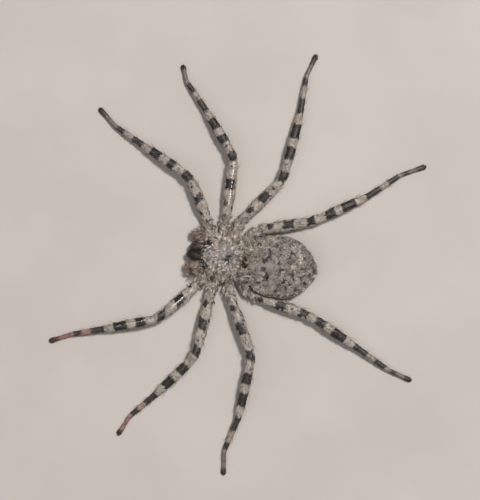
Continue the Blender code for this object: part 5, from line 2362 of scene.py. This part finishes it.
@dataclass
class Bristles:
    """Long dark bristles of the legs, and the two claws at each tip."""

    body: Body
    length: float = 0.68
    girth: float = 0.052
    rings: int = 6
    sides: int = 5
    rake: Pair = (0.80, 0.62)
    bend: Pair = (0.55, -0.25)
    root_depth: float = 0.03
    foot_share: float = 0.8
    claw_length: float = 0.24
    claw_girth: float = 0.075
    claw_place: Point = (-0.10, 0.07, 0.10)
    claw_droop: float = 1.3
    places: Table = (
        (1.30, 0.12), (1.34, 0.42), (1.62, 0.10), (1.66, 0.40), (1.86, 0.05), (1.88, 0.45),
        (3.20, -0.06), (3.20, 0.56), (3.50, -0.06), (3.50, 0.56), (3.78, -0.06), (3.78, 0.56),
        (4.25, -0.05), (4.25, 0.55), (4.60, -0.05), (4.60, 0.55),
    )

    def strand(self, root: Array, way: Array, droop: Array, length: float, girth: float) -> Array:
        """Rings of one bristle that bends toward its droop: root + way * l + droop * l^2 / 2.

        Args:
            root: Where it starts.
            way: Its first direction.
            droop: What it bends toward.
            length: Its length.
            girth: Its width at the root.

        Returns:
            Points as (ring, side, xyz), none below the floor.
        """
        share = np.linspace(0.0, 1.0, self.rings)[:, None]
        centre = root + way * length * share + droop * 0.5 * length * share**2
        ahead = unit(way + droop * share)
        side = unit(np.cross(ahead, UP))
        radii = 0.5 * girth * (1.0 - 0.93 * share[:, 0] ** 1.4)
        return on_floor(horn(centre, side, np.cross(side, ahead), radii, self.sides))

    def make(self, bristle: Material, claw: Material) -> None:
        """Make one piece of all bristles and one of all claws.

        Args:
            bristle: The bristles' finish.
            claw: The claws' finish.
        """
        bristles, claws = Stock(), Stock()
        for leg in self.body.legs.values():
            knots = leg.route.knots
            for stage, t in self.places:
                s = np.interp(stage, np.arange(7), knots) / leg.route.length
                at = leg.spots(np.array([s]), np.array([t]))
                point, normal, ahead = at.points[0], at.normals[0], at.ahead[0]
                small = 1.0 if stage < 4.0 else self.foot_share
                way = unit(self.rake[0] * ahead + self.rake[1] * normal)
                droop = self.bend[0] * ahead + self.bend[1] * normal
                root, length = point - self.root_depth * normal, self.length * small
                bristles.add_tube(self.strand(root, way, droop, length, self.girth * small))
            self.claws(leg, claws)
        bristles.piece("leg_bristles", [bristle], "leg")
        claws.piece("claws", [claw], "jaw")

    def claws(self, leg: Leg, stock: Stock) -> None:
        """Add two small hooked claws at a leg's tip.

        Args:
            leg: The leg.
            stock: The mesh to add to.
        """
        end = np.array([leg.route.length + self.claw_place[0]])
        centre, ahead, side, _ = (v[0] for v in leg.route.axes(end))
        for sign in (-1.0, 1.0):
            root = centre + side * sign * self.claw_place[1] + UP * self.claw_place[2]
            way = unit(ahead + 0.25 * UP + 0.10 * sign * side)
            droop = -self.claw_droop * UP
            stock.add_tube(self.strand(root, way, droop, self.claw_length, self.claw_girth))


@dataclass
class Studio:
    """Plain pale floor, soft light and a camera that looks straight down as the photo looks at its wall.

    Attributes:
        middle: Place in the animal's coordinates that the picture's centre shows.
        up: Way across the floor that is up in the picture.
        height: Millimetres that the picture's height spans.
        lens: Focal length, long so that heights don't spread the outline.
    """

    middle: Pair = (-0.884, -0.405)
    up: Pair = (-0.98967, -0.14334)
    height: float = 45.75
    lens: float = 250.0
    sensor: float = 36.0
    floor_half: float = 700.0

    def camera(self) -> None:
        """The camera, with its picture's long side on the sensor's width."""
        data = bpy.data.cameras.new("camera")
        data.lens, data.sensor_width = self.lens, self.sensor
        distance = self.height * self.lens / self.sensor
        data.clip_start, data.clip_end = 0.02, 5.0
        camera = linked("camera", data)
        camera.location = (np.array([*self.middle, distance]) - SPAN_MIDDLE) * MM
        camera.rotation_euler = (0.0, 0.0, math.atan2(-self.up[0], self.up[1]))
        bpy.context.scene.camera = camera

    def floor(self) -> None:
        """A wide floor of plain, slightly mottled plaster."""
        half = self.floor_half * MM
        mesh = bpy.data.meshes.new("floor")
        corners = [(-half, -half, 0.0), (half, -half, 0.0), (half, half, 0.0), (-half, half, 0.0)]
        mesh.from_pydata(corners, [], [(0, 1, 2, 3)])
        material, g, shader = new_material("floor", 0.85)
        plain, paler = linear(203, 195, 188), linear(209, 201, 195)
        colour = g.patches(g.millimetres(), 0.09, (0.3, 0.7), plain, paler, 4.0)
        g.feed(shader.inputs["Base Color"], colour)
        mesh.materials.append(material)
        linked("floor", mesh)

    def lamp(self, name: str, place: Point, size: float, power: float, warm: Point) -> None:
        """A square soft lamp that faces the animal.

        Args:
            name: The lamp's name.
            place: Where it hangs, in metres.
            size: Its side, in metres.
            power: Its watts.
            warm: Its colour.
        """
        data = bpy.data.lights.new(name, "AREA")
        data.shape, data.size, data.energy, data.color = "SQUARE", size, power, warm
        lamp = linked(name, data)
        lamp.location = place
        lamp.rotation_euler = Vector(place).to_track_quat("Z", "Y").to_euler()

    def lights(self) -> None:
        """A key lamp from the picture's upper right, a broad soft one above and an even surround."""
        self.lamp("key", (-0.115, 0.085, 0.34), 0.050, 1.01, (1.0, 0.985, 0.965))
        self.lamp("fill", (0.16, -0.20, 0.42), 0.42, 0.42, (0.98, 0.99, 1.0))
        world = bpy.data.worlds.new("surround")
        bpy.context.scene.world = world
        world.use_nodes = True
        back = world.node_tree.nodes["Background"]
        back.inputs["Color"].default_value = linear(236, 236, 238)
        back.inputs["Strength"].default_value = 0.18
        bpy.context.scene.view_settings.view_transform = "Standard"

    def make(self) -> None:
        """The whole studio."""
        self.camera()
        self.floor()
        self.lights()


def main() -> None:
    """Build the studio and the animal, and log each piece's triangle count."""
    logging.basicConfig(level=logging.INFO, format="%(message)s")
    Studio().make()
    finishes = Finishes()
    body = Body()
    body.make_skin(finishes)
    Eyes(body.shield).make(finishes.lens())
    fang = FANG_SHELL.material()
    Jaws(body).make(fang)
    Bristles(body).make(BRISTLE_SHELL.material(), fang)
    Fur(body, finishes).grow()


if __name__ == "__main__":
    main()
